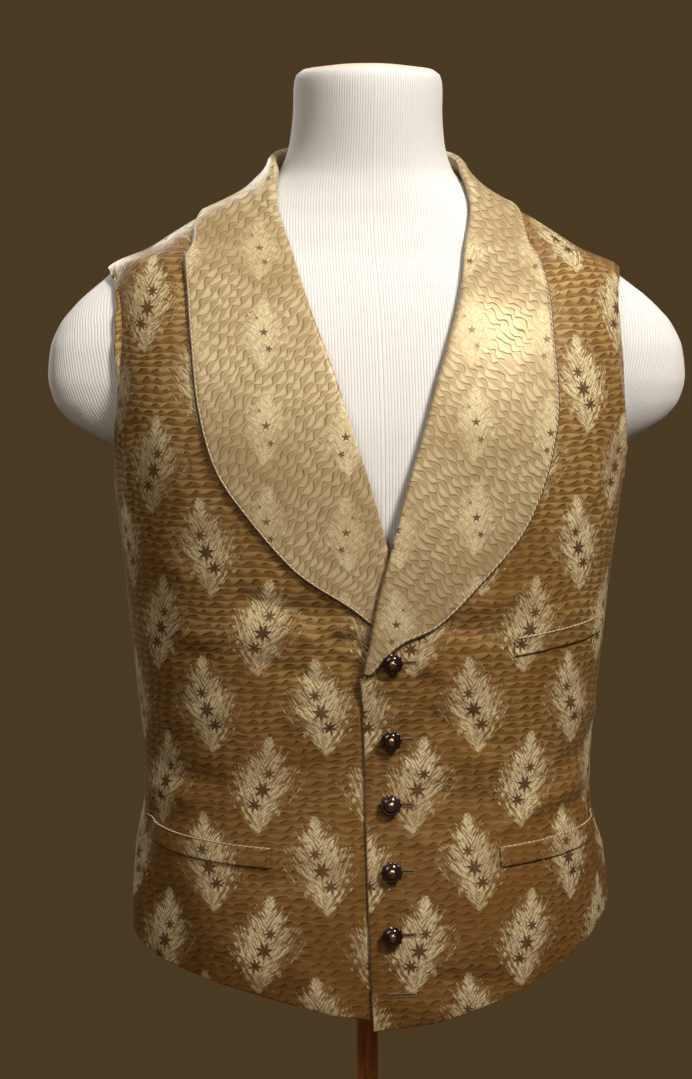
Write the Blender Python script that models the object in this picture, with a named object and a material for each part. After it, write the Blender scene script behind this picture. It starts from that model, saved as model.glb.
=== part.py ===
"""A shawl-collared waistcoat of figured silk, worn by a limbless dress form on a stand.

Metres, +Z up. The front faces -Y, the wearer's left is +X, and the origin is on the floor under the pole.

Places on the body are given as an angle and a height. The angle is in degrees, measured round the body
from the side: 0 is the side, 90 the centre front and -90 the centre back. side is +1 for the wearer's
left and -1 for the right. Tables are in millimetres and degrees.
"""

import math

import bpy
import numpy as np
from mathutils import Vector

MM = 0.001
LEFT = 1
RIGHT = -1

# Cloth
CLOTH = 1.8 * MM
SEAM_GAP = 0.3 * MM
SIDE_SEAM = -7.0
SHOULDER_SEAM = -5.0
CENTRE_BACK = -90.0
# The angle of the left front's edge at the hem
FRONT_EDGE = 96

# Heights
FORM_BOTTOM = 375 * MM
FORM_TOP = 950 * MM
BREAK_Z = 538.5 * MM
UNDERARM_FRONT_Z = 665 * MM

# Collar
HOOK = 1.5 * MM
FALL_GAP = 0.8 * MM
# Behind the shoulder the fall stands off a little more, from one station of the collar to another
NECK_EASE = 0.9 * MM
EASE_STARTS = 0.5
EASE_FULL = 0.68
# The fold's gap closes to the fall's gap over this share of the fall's width
FOLD_CLOSES = 0.6
LEG_STEPS = 2
ARC_STEPS = 4
FALL_STEPS = 7

# Buttons and welts
BUTTON_X = 2 * MM
BUTTON_HEIGHTS = [546.5, 492, 445, 400, 357.5]
BUTTON_SIDES = 14
WELT_HEIGHT = 12.5
WELT_THICK = 1.2 * MM
WELT_GAP = 0.6 * MM

# Stand
POLE_RADIUS = 8 * MM
POLE_FIT = 0.3 * MM
POLE_DEPTH = 22 * MM
POLE_FOOT_Z = 8 * MM
POLE_SIDES = 20
BASE_RADIUS = 170 * MM
BASE_HEIGHT = 24 * MM
BASE_SIDES = 32


def table(columns, rows):
    """A dictionary of named columns from rows of numbers."""
    values = np.array(rows, dtype=float)
    return {name: values[:, k] for k, name in enumerate(columns)}


# Horizontal sections of the torso: superellipses whose front and back halves differ
TORSO = table(
    ("z", "half_width", "front", "back", "centre_y", "front_square", "back_square"),
    [
        (290, 154, 103, 104, 0, 2.25, 2.2),
        (357, 160, 108, 106, 0, 2.25, 2.2),
        (400, 159, 106, 102, 0, 2.25, 2.2),
        (435, 154, 102, 97, 0, 2.25, 2.2),
        (461, 153, 100, 95, 0, 2.3, 2.2),
        (500, 156, 102, 96, 0, 2.35, 2.25),
        (540, 161, 106, 99, 0, 2.4, 2.3),
        (580, 165, 110, 103, 0, 2.45, 2.35),
        (620, 169.5, 113, 108, 0, 2.55, 2.4),
        (660, 174, 114, 113, 0, 2.7, 2.5),
        (700, 178, 111, 117, 0, 2.85, 2.6),
        (740, 180, 104, 118, 2, 2.9, 2.6),
        (775, 181, 95, 113, 5, 2.8, 2.5),
        (800, 181, 85, 104, 8, 2.5, 2.3),
        (813, 179, 78, 96, 10, 2.3, 2.2),
        (826, 154, 71, 86, 12, 2.15, 2.1),
        (840, 132, 65, 78, 12, 2.05, 2.05),
        (850, 115, 61, 71, 12, 2.0, 2.0),
        (860, 94, 58, 65, 11, 2.0, 2.0),
        (870, 77, 55, 60, 10, 2.0, 2.0),
        (884, 62, 52, 55, 8, 2.0, 2.0),
        (905, 55, 51, 53, 4, 2.0, 2.0),
        (930, 53, 51, 52, 0, 2.0, 2.0),
        (950, 53, 51, 52, -2, 2.0, 2.0),
    ],
)

# Horizontal sections of the arm stubs, which reach out to both sides
STUB = table(
    ("z", "reach", "half_depth"),
    [
        (290, 50, 5),
        (640, 90, 5),
        (668, 130, 6),
        (678, 152, 9),
        (684, 171, 14),
        (690, 187, 22),
        (698, 202, 30),
        (708, 214.5, 36.5),
        (722, 224, 42.5),
        (738, 227.5, 46),
        (756, 226, 46.5),
        (774, 219, 43.5),
        (788, 208, 38),
        (800, 195, 30.5),
        (808, 184, 23.5),
        (813, 174, 17),
        (819, 150, 10),
        (832, 90, 5),
        (950, 20, 5),
    ],
)
STUB_SQUARE = 6
# Where a stub leaves the torso, the hollow is filled over this distance
STUB_BLEND = 12 * MM

# How far the cloth's inside stands off the form
STAND_OFF = table(
    ("z", "gap"),
    [
        (290, 11),
        (357, 9),
        (400, 7),
        (435, 6.2),
        (470, 6.6),
        (540, 5.6),
        (620, 5.2),
        (690, 5.2),
        (750, 4.0),
        (780, 3.1),
        (800, 3.3),
        (815, 2.8),
        (830, 2.2),
        (860, 2.0),
        (872, 2.8),
        (884, 4.6),
        (905, 6.5),
        (950, 6.5),
    ],
)

# The left front rises over the right front and its collar where they overlap
OVERLAP_RISE = table(
    ("z", "rise"),
    [(290, 2.5), (498, 2.5), (522, 4.8), (538, 5.5), (630, 5.5), (660, 1.8), (690, 0)],
)
RISE_STARTS_X = 60 * MM
RISE_FULL_X = 27 * MM

# Along the ridge of the shoulders the cloth lies on the form
SEAT_GAP = 0.7 * MM
SEAT_WIDTH = 8
SEAT_LOW_Z = 811 * MM
SEAT_FULL_Z = 822 * MM
SEAT_HIGH_Z = 862 * MM
SEAT_END_Z = 872 * MM

# How far each front edge lies past the centre front, below the collar
LAP = {
    LEFT: table(("z", "past"), [(290, 9.5), (350, 12.6), (410, 14), (490, 15.5), (538.5, 19)]),
    RIGHT: table(("z", "past"), [(290, 19), (538.5, 19)]),
}

# The lower edge, by angle
HEM = {
    RIGHT: table(
        ("angle", "z"),
        [(-90, 352), (-60, 353), (-30, 357), (0, 360), (10, 348), (18.5, 334.5), (30, 325.5), (43.5, 318)]
        + [(60, 308), (73.5, 301.5), (90, 298), (102, 298.5)],
    ),
    LEFT: table(
        ("angle", "z"),
        [(-90, 352), (-60, 353), (-30, 357), (0, 361), (10, 354), (24.5, 336.5), (36.5, 321.5), (50.5, 308)]
        + [(73.5, 295.5), (90, 292), (102, 290.5)],
    ),
}

# Armholes, from the underarm at the side seam over the front to the shoulder tip
ARMHOLE_FRONT = {
    RIGHT: table(
        ("z", "angle"),
        [
            (660, -7),
            (664, 2),
            (674, 6),
            (690, 9.5),
            (710, 12.5),
            (735, 14),
            (765, 13.6),
            (785, 11.8),
            (800, 8.9),
            (809, 5),
            (814, -1),
            (815.5, -5),
        ],
    ),
    LEFT: table(
        ("z", "angle"),
        [
            (646, -7),
            (649, 2),
            (658, 9),
            (672, 14),
            (690, 16.8),
            (710, 17.8),
            (735, 17.9),
            (765, 17),
            (785, 15.2),
            (800, 12),
            (810, 7),
            (815.5, -5),
        ],
    ),
}
ARMHOLE_BACK = table(
    ("z", "angle"),
    [
        (667, -13),
        (680, -18),
        (700, -21.5),
        (730, -23),
        (760, -22.5),
        (785, -20),
        (800, -16.5),
        (809, -12.5),
        (815.5, -5),
    ],
)

# The collar: the rolled edge's tip, from the break round the neck to the centre back, and the height of
# the stand below it. Where the stand is 0, the front's edge is sewn right inside the roll.
COLLAR_ROLL = table(
    ("angle", "z", "stand", "fold_gap"),
    [
        (99.3, 538.5, 0, 0.8),
        (97.0, 559, 0, 0.8),
        (94.5, 585, 0, 0.8),
        (90.0, 620, 0, 0.8),
        (84.5, 660, 0, 1.2),
        (78.0, 700, 0, 1.5),
        (71.0, 740, 0, 1.6),
        (62.0, 780, 0, 1.6),
        (53.5, 810, 0, 1.6),
        (42.0, 840, 5, 1.6),
        (28.0, 866, 12, 1.6),
        (12.0, 884, 18, 1.6),
        (-8.0, 893, 22, 1.6),
        (-40.0, 900, 26, 1.6),
        (-89.85, 903, 28, 1.6),
    ],
)
# The fall's outer edge at the same stations
COLLAR_EDGE = {
    LEFT: table(
        ("angle", "z"),
        [
            (97.5, 538.5),
            (86.7, 559.5),
            (73.5, 572),
            (59.0, 603),
            (48.5, 637),
            (43.5, 675),
            (40.0, 716),
            (37.5, 762),
            (33.5, 795),
            (28.0, 822),
            (20.0, 843),
            (5.0, 857),
            (-14.0, 858),
            (-40.0, 858),
            (-89.9, 859),
        ],
    ),
    RIGHT: table(
        ("angle", "z"),
        [
            (97.5, 538.5),
            (91.0, 560),
            (78.5, 582),
            (61.0, 608),
            (49.0, 644),
            (41.5, 677),
            (37.0, 718),
            (33.5, 759),
            (30.0, 787),
            (24.5, 812),
            (16.0, 835),
            (3.0, 850.5),
            (-14.0, 854),
            (-40.0, 857),
            (-89.9, 859),
        ],
    ),
}

# The largest soft folds: each runs between two places, is raised or sunk by height, and fades over width
FOLD_COLUMNS = ("angle_1", "z_1", "angle_2", "z_2", "height", "width")
FOLDS = {
    RIGHT: table(
        FOLD_COLUMNS,
        [
            (47, 587, 68, 578, -2.4, 8),
            (9, 388, 12, 330, 3.0, 13),
            (24, 372, 30, 318, -1.8, 14),
            (60, 332, 72, 308, 1.8, 12),
            (14, 470, 34, 458, -1.6, 9),
            (-30, 470, -62, 455, -2.0, 11),
            (-26, 395, -32, 352, 2.5, 16),
            (-66, 400, -70, 352, 2.2, 18),
            (-28, 690, -44, 640, -1.8, 12),
        ],
    ),
    LEFT: table(
        FOLD_COLUMNS,
        [
            (80, 532, 70, 500, -2.2, 7),
            (76, 545, 64, 512, 1.2, 7),
            (70, 571, 52, 567, -1.6, 8),
            (38, 441, 26, 446, 2.0, 7),
            (88, 312, 70, 306, 1.6, 8),
            (2, 392, 8, 334, 3.6, 15),
            (26, 380, 33, 325, -1.6, 15),
            (15, 480, 30, 462, -1.6, 9),
            (-20, 668, -2, 652, 4.0, 11),
            (-34, 478, -58, 462, -2.0, 11),
            (-48, 392, -50, 352, 2.4, 17),
            (-30, 705, -42, 650, -1.6, 12),
        ],
    ),
}

# The upper edges of the welts and their ends
WELTS = {
    "welt_lower_right": (RIGHT, table(("angle", "z"), [(9, 427), (24, 419.5), (39, 416), (51, 414.5)])),
    "welt_lower_left": (LEFT, table(("angle", "z"), [(9, 424.5), (24, 417.5), (39, 414), (51, 412)])),
    "welt_breast_left": (LEFT, table(("angle", "z"), [(17, 572), (27, 567.5), (38, 563.5), (48, 560)])),
}
WELT_COLUMNS = 14

# Grids
FRONT_COLUMNS = 15
ROWS_BELOW_BREAK = 13
STATIONS_TO_SHOULDER = 24
STATIONS_TO_BACK = 6
BACK_COLUMNS = 11
BACK_ROWS_BELOW = 13
BACK_ROWS_TO_NAPE = 6


def slopes(x, y):
    """Slopes at the points of a table, for a curve that never swings past its own points."""
    step = np.diff(x)
    rise = np.diff(y) / step
    result = np.zeros(len(x))
    for i in range(1, len(x) - 1):
        if rise[i - 1] * rise[i] > 0:
            near = 2 * step[i] + step[i - 1]
            far = step[i] + 2 * step[i - 1]
            result[i] = (near + far) / (near / rise[i - 1] + far / rise[i])
    result[0] = rise[0]
    result[-1] = rise[-1]
    return result


def curve(x, y, at):
    """The smooth curve through the points (x, y), read at any places within them."""
    at = np.clip(np.asarray(at, dtype=float), x[0], x[-1])
    slope = slopes(x, y)
    i = np.clip(np.searchsorted(x, at, side="right") - 1, 0, len(x) - 2)
    step = x[i + 1] - x[i]
    t = (at - x[i]) / step
    return (
        (1 + 2 * t) * (1 - t) ** 2 * y[i]
        + t * (1 - t) ** 2 * step * slope[i]
        + t * t * (3 - 2 * t) * y[i + 1]
        + t * t * (t - 1) * step * slope[i + 1]
    )


def at_height(rows, name, z):
    """A column in millimetres, read at heights in metres."""
    return curve(rows["z"], rows[name], np.asarray(z) / MM) * MM


def smooth_step(start, end, value):
    t = np.clip((value - start) / (end - start), 0, 1)
    return t * t * (3 - 2 * t)


def body_point(side, angle, z):
    """A point of the form's surface: the torso and the arm stubs, blended."""
    angle, z = np.broadcast_arrays(np.asarray(angle, dtype=float), np.asarray(z, dtype=float))
    across = np.cos(np.radians(angle))
    ahead = np.sin(np.radians(angle))
    in_front = ahead > 0
    depth = np.where(in_front, at_height(TORSO, "front", z), at_height(TORSO, "back", z))
    square = np.where(in_front, at_height(TORSO, "front_square", z), at_height(TORSO, "back_square", z)) / MM
    width = at_height(TORSO, "half_width", z)
    torso = (np.abs(across / width) ** square + np.abs(ahead / depth) ** square) ** (-1 / square)
    reach = at_height(STUB, "reach", z)
    half_depth = at_height(STUB, "half_depth", z)
    stub = (np.abs(across / reach) ** STUB_SQUARE + np.abs(ahead / half_depth) ** STUB_SQUARE) ** (
        -1 / STUB_SQUARE
    )
    near = np.clip(1 - np.abs(torso - stub) / STUB_BLEND, 0, 1)
    radius = np.maximum(torso, stub) + STUB_BLEND / 4 * near**2
    y = at_height(TORSO, "centre_y", z) - radius * ahead
    return np.stack([side * radius * across, y, z], axis=-1)


def body_normal(side, angle, z):
    """The outward normal of the form's surface."""
    turn = 0.12
    lift = 1.5 * MM
    along = body_point(side, angle + turn, z) - body_point(side, angle - turn, z)
    up = body_point(side, angle, z + lift) - body_point(side, angle, z - lift)
    normal = np.cross(up, along) * side
    return normal / np.linalg.norm(normal, axis=-1, keepdims=True)


def distance_to_line(points, start, end):
    line = end - start
    t = np.clip(((points - start) @ line) / (line @ line), 0, 1)
    return np.linalg.norm(points - start - t[..., None] * line, axis=-1)


def fold_height(side, angle, z):
    """The sum of the soft folds at a place."""
    folds = FOLDS[side]
    points = body_point(side, angle, z)
    total = np.zeros(points.shape[:-1])
    for k in range(len(folds["z_1"])):
        start = body_point(side, folds["angle_1"][k], folds["z_1"][k] * MM)
        end = body_point(side, folds["angle_2"][k], folds["z_2"][k] * MM)
        distance = distance_to_line(points, start, end)
        total += folds["height"][k] * MM * np.exp(-((distance / (folds["width"][k] * MM)) ** 2))
    return total


def inside_offset(side, angle, z):
    """How far the cloth's inner face is from the form."""
    angle, z = np.broadcast_arrays(np.asarray(angle, dtype=float), np.asarray(z, dtype=float))
    offset = at_height(STAND_OFF, "gap", z) + fold_height(side, angle, z)
    seat = np.exp(-(((angle - SHOULDER_SEAM) / SEAT_WIDTH) ** 2))
    seat = seat * smooth_step(SEAT_LOW_Z, SEAT_FULL_Z, z) * smooth_step(SEAT_END_Z, SEAT_HIGH_Z, z)
    offset = offset + (SEAT_GAP - offset) * seat
    if side == LEFT:
        x = body_point(side, angle, z)[..., 0]
        in_front = angle > 0
        rise = at_height(OVERLAP_RISE, "rise", z) * smooth_step(RISE_STARTS_X, RISE_FULL_X, x)
        offset = offset + np.where(in_front, rise, 0)
    return offset


def cloth_point(side, angle, z, above=0.0):
    """A point at a distance above the cloth's inner face. The outer face is at CLOTH."""
    offset = inside_offset(side, angle, z) + above
    return body_point(side, angle, z) + body_normal(side, angle, z) * offset[..., None]


def front_angle(x, z):
    """The angle of a place on the front at a distance x to the wearer's own side of the centre."""
    width = at_height(TORSO, "half_width", z)
    square = at_height(TORSO, "front_square", z) / MM
    depth = at_height(TORSO, "front", z) * (1 - np.abs(x / width) ** square) ** (1 / square)
    return 90 - np.degrees(np.arctan2(x, depth))


# Collar stations


def collar_row(side, station):
    """The roll's tip, the fall's edge, the stand and the fold's gap at a station from 0 to 1."""
    count = len(COLLAR_ROLL["z"])
    marks = np.linspace(0, 1, count)
    roll = COLLAR_ROLL
    edge = COLLAR_EDGE[side]
    tip = np.array([curve(marks, roll["angle"], station), curve(marks, roll["z"], station) * MM])
    rim = np.array([curve(marks, edge["angle"], station), curve(marks, edge["z"], station) * MM])
    stand = HOOK + float(curve(marks, roll["stand"], station)) * MM
    fold_gap = float(curve(marks, roll["fold_gap"], station)) * MM
    return tip, rim, stand, fold_gap


def fall_path(side, tip, rim):
    """Places from the roll's tip to the fall's edge, with their distance from the tip."""
    t = np.linspace(0, 1, 49)[:, None]
    places = tip + (rim - tip) * t
    points = cloth_point(side, places[:, 0], places[:, 1], CLOTH)
    distance = np.concatenate([[0], np.cumsum(np.linalg.norm(np.diff(points, axis=0), axis=1))])
    return places, distance


def place_at(places, distance, wanted):
    return np.array([np.interp(wanted, distance, places[:, 0]), np.interp(wanted, distance, places[:, 1])])


def neckline_place(side, station):
    """Where the front's or back's edge is sewn to the collar."""
    tip, rim, stand, fold_gap = collar_row(side, station)
    places, distance = fall_path(side, tip, rim)
    fold_radius = CLOTH + fold_gap / 2
    return place_at(places, distance, fold_radius + stand + SEAM_GAP)


def neckline(side):
    """Stations of the collar with their places on the neckline, evenly spaced up to the shoulder seam and
    again from there to the centre back. The panels' edges have their points at the same stations."""
    stations = np.linspace(0, 1, 81)
    places = np.array([neckline_place(side, s) for s in stations])
    points = body_point(side, places[:, 0], places[:, 1])
    length = np.concatenate([[0], np.cumsum(np.linalg.norm(np.diff(points, axis=0), axis=1))])
    at_shoulder = np.interp(-SHOULDER_SEAM, -places[:, 0], length)
    wanted = np.concatenate(
        [
            np.linspace(0, at_shoulder, STATIONS_TO_SHOULDER, endpoint=False),
            np.linspace(at_shoulder, length[-1], STATIONS_TO_BACK + 1),
        ]
    )
    even = np.interp(wanted, length, stations)
    places = np.array([neckline_place(side, s) for s in even])
    return even, places[:, 0], places[:, 1]


# Meshes


def material(name, colour, roughness, metallic=0.0):
    made = bpy.data.materials.new(name)
    made.use_nodes = True
    shader = made.node_tree.nodes["Principled BSDF"]
    shader.inputs["Base Color"].default_value = (*colour, 1.0)
    shader.inputs["Roughness"].default_value = roughness
    shader.inputs["Metallic"].default_value = metallic
    made.diffuse_color = (*colour, 1.0)
    return made


def add_object(name, points, faces, finish):
    mesh = bpy.data.meshes.new(name)
    mesh.from_pydata([tuple(p) for p in points], [], faces)
    mesh.validate()
    mesh.materials.append(finish)
    mesh.shade_smooth()
    mesh.set_sharp_from_angle(angle=math.radians(50))
    made = bpy.data.objects.new(name, mesh)
    bpy.context.scene.collection.objects.link(made)
    return made


def wall(name, outer, inner, triangles, finish):
    """A sheet with thickness: triangles over the outer points, the same inside, and rims on its edges."""
    count = len(outer)
    faces = [tuple(t) for t in triangles]
    directed = {(t[k], t[(k + 1) % 3]) for t in triangles for k in range(3)}
    faces += [(a + count, c + count, b + count) for a, b, c in triangles]
    for a, b in sorted(directed):
        if (b, a) not in directed:
            faces.append((b, a, a + count))
            faces.append((b, a + count, b + count))
    return add_object(name, np.vstack([outer, inner]), faces, finish)


def grid_triangles(index, flip):
    """Triangles over a grid of point numbers."""
    triangles = []
    for r in range(index.shape[0] - 1):
        for c in range(index.shape[1] - 1):
            a, b = int(index[r, c]), int(index[r, c + 1])
            d, e = int(index[r + 1, c]), int(index[r + 1, c + 1])
            halves = [(a, b, e), (a, e, d)] if (r + c) % 2 else [(a, b, d), (b, e, d)]
            for half in halves:
                if len(set(half)) == 3:
                    triangles.append(half[::-1] if flip else half)
    return triangles


def cloth_wall(name, side, angles, heights, finish, bottom=0.0, top=CLOTH):
    """A panel over a grid of places, rows running from the side to the centre."""
    index = np.arange(angles.size).reshape(angles.shape)
    outer = cloth_point(side, angles, heights, top).reshape(-1, 3)
    inner = cloth_point(side, angles, heights, bottom).reshape(-1, 3)
    return wall(name, outer, inner, grid_triangles(index, side == LEFT), finish)


def seam_angle(z, angle, towards):
    """An angle moved by half a seam's gap."""
    radius = np.linalg.norm(body_point(LEFT, angle, z)[..., :2], axis=-1)
    return angle + towards * np.degrees(SEAM_GAP / 2 / radius)


def turned(name, rings, sides, finish, place=None, axis=None):
    """A turned piece: rings are (radius, height) from the bottom's middle to the top's middle."""
    turn = np.arange(sides) / sides * 2 * math.pi
    points = [(0, 0, rings[0][1])]
    for radius, height in rings[1:-1]:
        points += [(radius * math.cos(t), radius * math.sin(t), height) for t in turn]
    points.append((0, 0, rings[-1][1]))
    faces = []
    last = len(points) - 1
    for k in range(sides):
        following = (k + 1) % sides
        faces.append((0, 1 + following, 1 + k))
        for r in range(len(rings) - 3):
            low, high = 1 + r * sides, 1 + (r + 1) * sides
            faces.append((low + k, low + following, high + following, high + k))
        top = 1 + (len(rings) - 3) * sides
        faces.append((last, top + k, top + following))
    made = add_object(name, points, faces, finish)
    if place is not None:
        made.location = place
        made.rotation_mode = "QUATERNION"
        made.rotation_quaternion = Vector((0, 0, 1)).rotation_difference(Vector(axis))
    return made


# Pieces of the waistcoat


def front_panel(name, side, finish):
    """One front, in rows from the side seam and armhole to the front edge and neckline."""
    neck_angle, neck_z = [values[: STATIONS_TO_SHOULDER + 1] for values in neckline(side)[1:]]
    armhole = ARMHOLE_FRONT[side]
    hem = HEM[side]
    underarm_z = armhole["z"][0] * MM
    side_hem = float(curve(hem["angle"], hem["z"], SIDE_SEAM)) * MM
    edge_hem = float(curve(hem["angle"], hem["z"], FRONT_EDGE)) * MM
    underarm_row = int(np.searchsorted(neck_z, UNDERARM_FRONT_Z))

    below = np.linspace(edge_hem, BREAK_Z, ROWS_BELOW_BREAK, endpoint=False)
    edge_z = np.concatenate([below, neck_z[:underarm_row]])
    edge_angle = np.concatenate(
        [front_angle(-at_height(LAP[side], "past", below), below), neck_angle[:underarm_row]]
    )
    share = (edge_z - edge_hem) / (neck_z[underarm_row] - edge_hem)
    side_z = side_hem + (underarm_z - side_hem) * share
    columns = np.linspace(0, 1, FRONT_COLUMNS + 1)
    angles = []
    heights = []
    for z_side, z_edge, angle, part in zip(side_z, edge_z, edge_angle, share):
        start = seam_angle(z_side, SIDE_SEAM, 1)
        row = start + (angle - start) * columns
        chord = side_hem + (edge_hem - side_hem) * columns
        bow = curve(hem["angle"], hem["z"], row) * MM - chord
        angles.append(row)
        heights.append(z_side + (z_edge - z_side) * columns + bow * (1 - part) ** 2)

    arm_marks = arc_marks(side, armhole["angle"], armhole["z"] * MM)
    upper_angle = neck_angle[underarm_row:]
    upper_z = neck_z[underarm_row:]
    for k, t in enumerate(np.linspace(0, 1, len(upper_z))):
        arm_angle = np.interp(t, arm_marks, armhole["angle"])
        arm_z = np.interp(t, arm_marks, armhole["z"]) * MM
        row = arm_angle + (upper_angle[k] - arm_angle) * columns
        row_z = arm_z + (upper_z[k] - arm_z) * columns
        if t == 0:
            row[0] = seam_angle(row_z[0], SIDE_SEAM, 1)
        if t == 1:
            row = seam_angle(row_z, SHOULDER_SEAM, 1)
        angles.append(row)
        heights.append(row_z)
    return cloth_wall(name, side, np.array(angles), np.array(heights), finish)


def arc_marks(side, angles, heights):
    """Marks from 0 to 1 along a line of places, by its length on the body."""
    points = body_point(side, angles, heights)
    length = np.concatenate([[0], np.cumsum(np.linalg.norm(np.diff(points, axis=0), axis=1))])
    return length / length[-1]


def back_half(side):
    """Places of one half of the back, in rows from the side to the centre back or the neckline."""
    collar_angle, collar_z = [values[STATIONS_TO_SHOULDER:][::-1] for values in neckline(side)[1:]]
    collar_angle[0] = CENTRE_BACK
    hem = HEM[side]
    underarm_z = ARMHOLE_FRONT[side]["z"][0] * MM
    side_hem = float(curve(hem["angle"], hem["z"], SIDE_SEAM)) * MM
    centre_hem = float(hem["z"][0]) * MM
    columns = np.linspace(0, 1, BACK_COLUMNS + 1)
    angles = []
    heights = []
    for part in np.linspace(0, 1, BACK_ROWS_BELOW, endpoint=False):
        z_side = side_hem + (underarm_z - side_hem) * part
        z_centre = centre_hem + (UNDERARM_FRONT_Z - centre_hem) * part
        start = seam_angle(z_side, SIDE_SEAM, -1)
        row = start + (CENTRE_BACK - start) * columns
        chord = side_hem + (centre_hem - side_hem) * columns
        bow = curve(hem["angle"], hem["z"], row) * MM - chord
        angles.append(row)
        heights.append(z_side + (z_centre - z_side) * columns + bow * (1 - part) ** 2)

    arm_angle = np.append(SIDE_SEAM, ARMHOLE_BACK["angle"])
    arm_z = np.append(underarm_z, ARMHOLE_BACK["z"] * MM)
    arm_marks = arc_marks(side, arm_angle, arm_z)
    to_nape = np.linspace(UNDERARM_FRONT_Z, collar_z[0], BACK_ROWS_TO_NAPE, endpoint=False)
    end_angle = np.concatenate([np.full(BACK_ROWS_TO_NAPE, CENTRE_BACK), collar_angle])
    end_z = np.concatenate([to_nape, collar_z])
    for k, t in enumerate(np.linspace(0, 1, len(end_z))):
        start_angle = np.interp(t, arm_marks, arm_angle)
        start_z = np.interp(t, arm_marks, arm_z)
        row = start_angle + (end_angle[k] - start_angle) * columns
        row_z = start_z + (end_z[k] - start_z) * columns
        if t == 0:
            row[0] = seam_angle(row_z[0], SIDE_SEAM, -1)
        if t == 1:
            row = seam_angle(row_z, SHOULDER_SEAM, -1)
        angles.append(row)
        heights.append(row_z)
    return np.array(angles), np.array(heights)


def back_panel(name, finish):
    """The back in one piece, its two halves joined on the centre line up to the nape."""
    outer = []
    inner = []
    triangles = []
    nape_row = BACK_ROWS_BELOW + BACK_ROWS_TO_NAPE
    first_centre = None
    for side in (LEFT, RIGHT):
        angles, heights = back_half(side)
        base = sum(len(part) for part in outer)
        index = base + np.arange(angles.size).reshape(angles.shape)
        outer.append(cloth_point(side, angles, heights, CLOTH).reshape(-1, 3))
        inner.append(cloth_point(side, angles, heights, 0.0).reshape(-1, 3))
        if side == LEFT:
            first_centre = index[: nape_row + 1, -1].copy()
        else:
            index[: nape_row + 1, -1] = first_centre
        triangles += grid_triangles(index, side == RIGHT)
    outer = np.vstack(outer)
    inner = np.vstack(inner)
    used = sorted({v for t in triangles for v in t})
    renumber = {old: new for new, old in enumerate(used)}
    triangles = [tuple(renumber[v] for v in t) for t in triangles]
    outer = outer[used]
    inner = inner[used]
    on_centre = [renumber[v] for v in first_centre]
    outer[on_centre, 0] = 0
    inner[on_centre, 0] = 0
    return wall(name, outer, inner, triangles, finish)


def collar_half(name, side, finish):
    """Half of the collar: at each station a stand, a rolled edge and a fall, as one folded wall."""
    half = CLOTH / 2
    outside = []
    inside = []
    for station in neckline(side)[0]:
        tip, rim, stand, fold_gap = collar_row(side, station)
        places, distance = fall_path(side, tip, rim)
        fold_radius = half + fold_gap / 2
        fold_at = fold_radius + half
        outer_row = []
        inner_row = []
        for leg in np.linspace(fold_at + stand, fold_at, LEG_STEPS, endpoint=False):
            angle, z = place_at(places, distance, leg)
            outer_row.append(cloth_point(side, angle, z, 0.0))
            inner_row.append(cloth_point(side, angle, z, CLOTH))
        angle, z = place_at(places, distance, fold_at)
        normal = body_normal(side, angle, z)
        middle = cloth_point(side, angle, z, half + fold_radius)
        ahead = place_at(places, distance, fold_at + MM)
        towards = cloth_point(side, ahead[0], ahead[1], half + fold_radius) - middle
        towards -= normal * (towards @ normal)
        towards /= np.linalg.norm(towards)
        for turn in np.linspace(-90, 90, ARC_STEPS + 1):
            spoke = normal * math.sin(math.radians(turn)) - towards * math.cos(math.radians(turn))
            outer_row.append(middle + spoke * (fold_radius + half))
            inner_row.append(middle + spoke * (fold_radius - half))
        width = distance[-1] - fold_at
        for t in np.linspace(0, 1, FALL_STEPS + 1)[1:]:
            angle, z = place_at(places, distance, fold_at + width * t)
            gap = FALL_GAP + (fold_gap - FALL_GAP) * (1 - smooth_step(0, FOLD_CLOSES, t))
            gap += NECK_EASE * smooth_step(EASE_STARTS, EASE_FULL, station)
            inner_row.append(cloth_point(side, angle, z, CLOTH + gap))
            outer_row.append(cloth_point(side, angle, z, CLOTH + gap + CLOTH))
        outside.append(outer_row)
        inside.append(inner_row)
    outside = np.array(outside)
    inside = np.array(inside)
    index = np.arange(outside.shape[0] * outside.shape[1]).reshape(outside.shape[:2])
    triangles = grid_triangles(index, side == RIGHT)
    return wall(name, outside.reshape(-1, 3), inside.reshape(-1, 3), triangles, finish)


def welt(name, finish):
    """A pocket welt, moved out from the panel that carries it."""
    side, upper = WELTS[name]
    along = np.linspace(upper["angle"][0], upper["angle"][-1], WELT_COLUMNS + 1)
    top = curve(upper["angle"], upper["z"], along) * MM
    angles = np.vstack([along, along])
    heights = np.vstack([top - WELT_HEIGHT * MM, top])
    bottom = CLOTH + WELT_GAP
    return cloth_wall(name, side, angles, heights, finish, bottom, bottom + WELT_THICK)


# A button's outline as (radius, height): the shank, then the head with its rim and middle knob
BUTTON_RINGS = [
    (0, 0.3),
    (3.2, 0.3),
    (3.2, 3.0),
    (6.2, 3.0),
    (7.2, 4.0),
    (6.7, 5.2),
    (4.6, 6.1),
    (2.6, 6.2),
    (1.9, 7.2),
    (0, 7.6),
]


def button(name, z, finish):
    angle = front_angle(BUTTON_X, z)
    place = cloth_point(LEFT, angle, z, CLOTH)
    axis = body_normal(LEFT, angle, z)
    rings = [(radius * MM, height * MM) for radius, height in BUTTON_RINGS]
    return turned(name, rings, BUTTON_SIDES, finish, place, axis)


# The form and its stand


def form_angles():
    """Angles of the form's points: close together round the arm stubs, wider elsewhere."""
    quarter = [0, 4.5, 8.5, 11.5, 14.5, 18, 23.5, 31, 41, 52, 64, 77]
    return np.array(quarter + [90] + [180 - a for a in quarter[::-1]])


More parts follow.
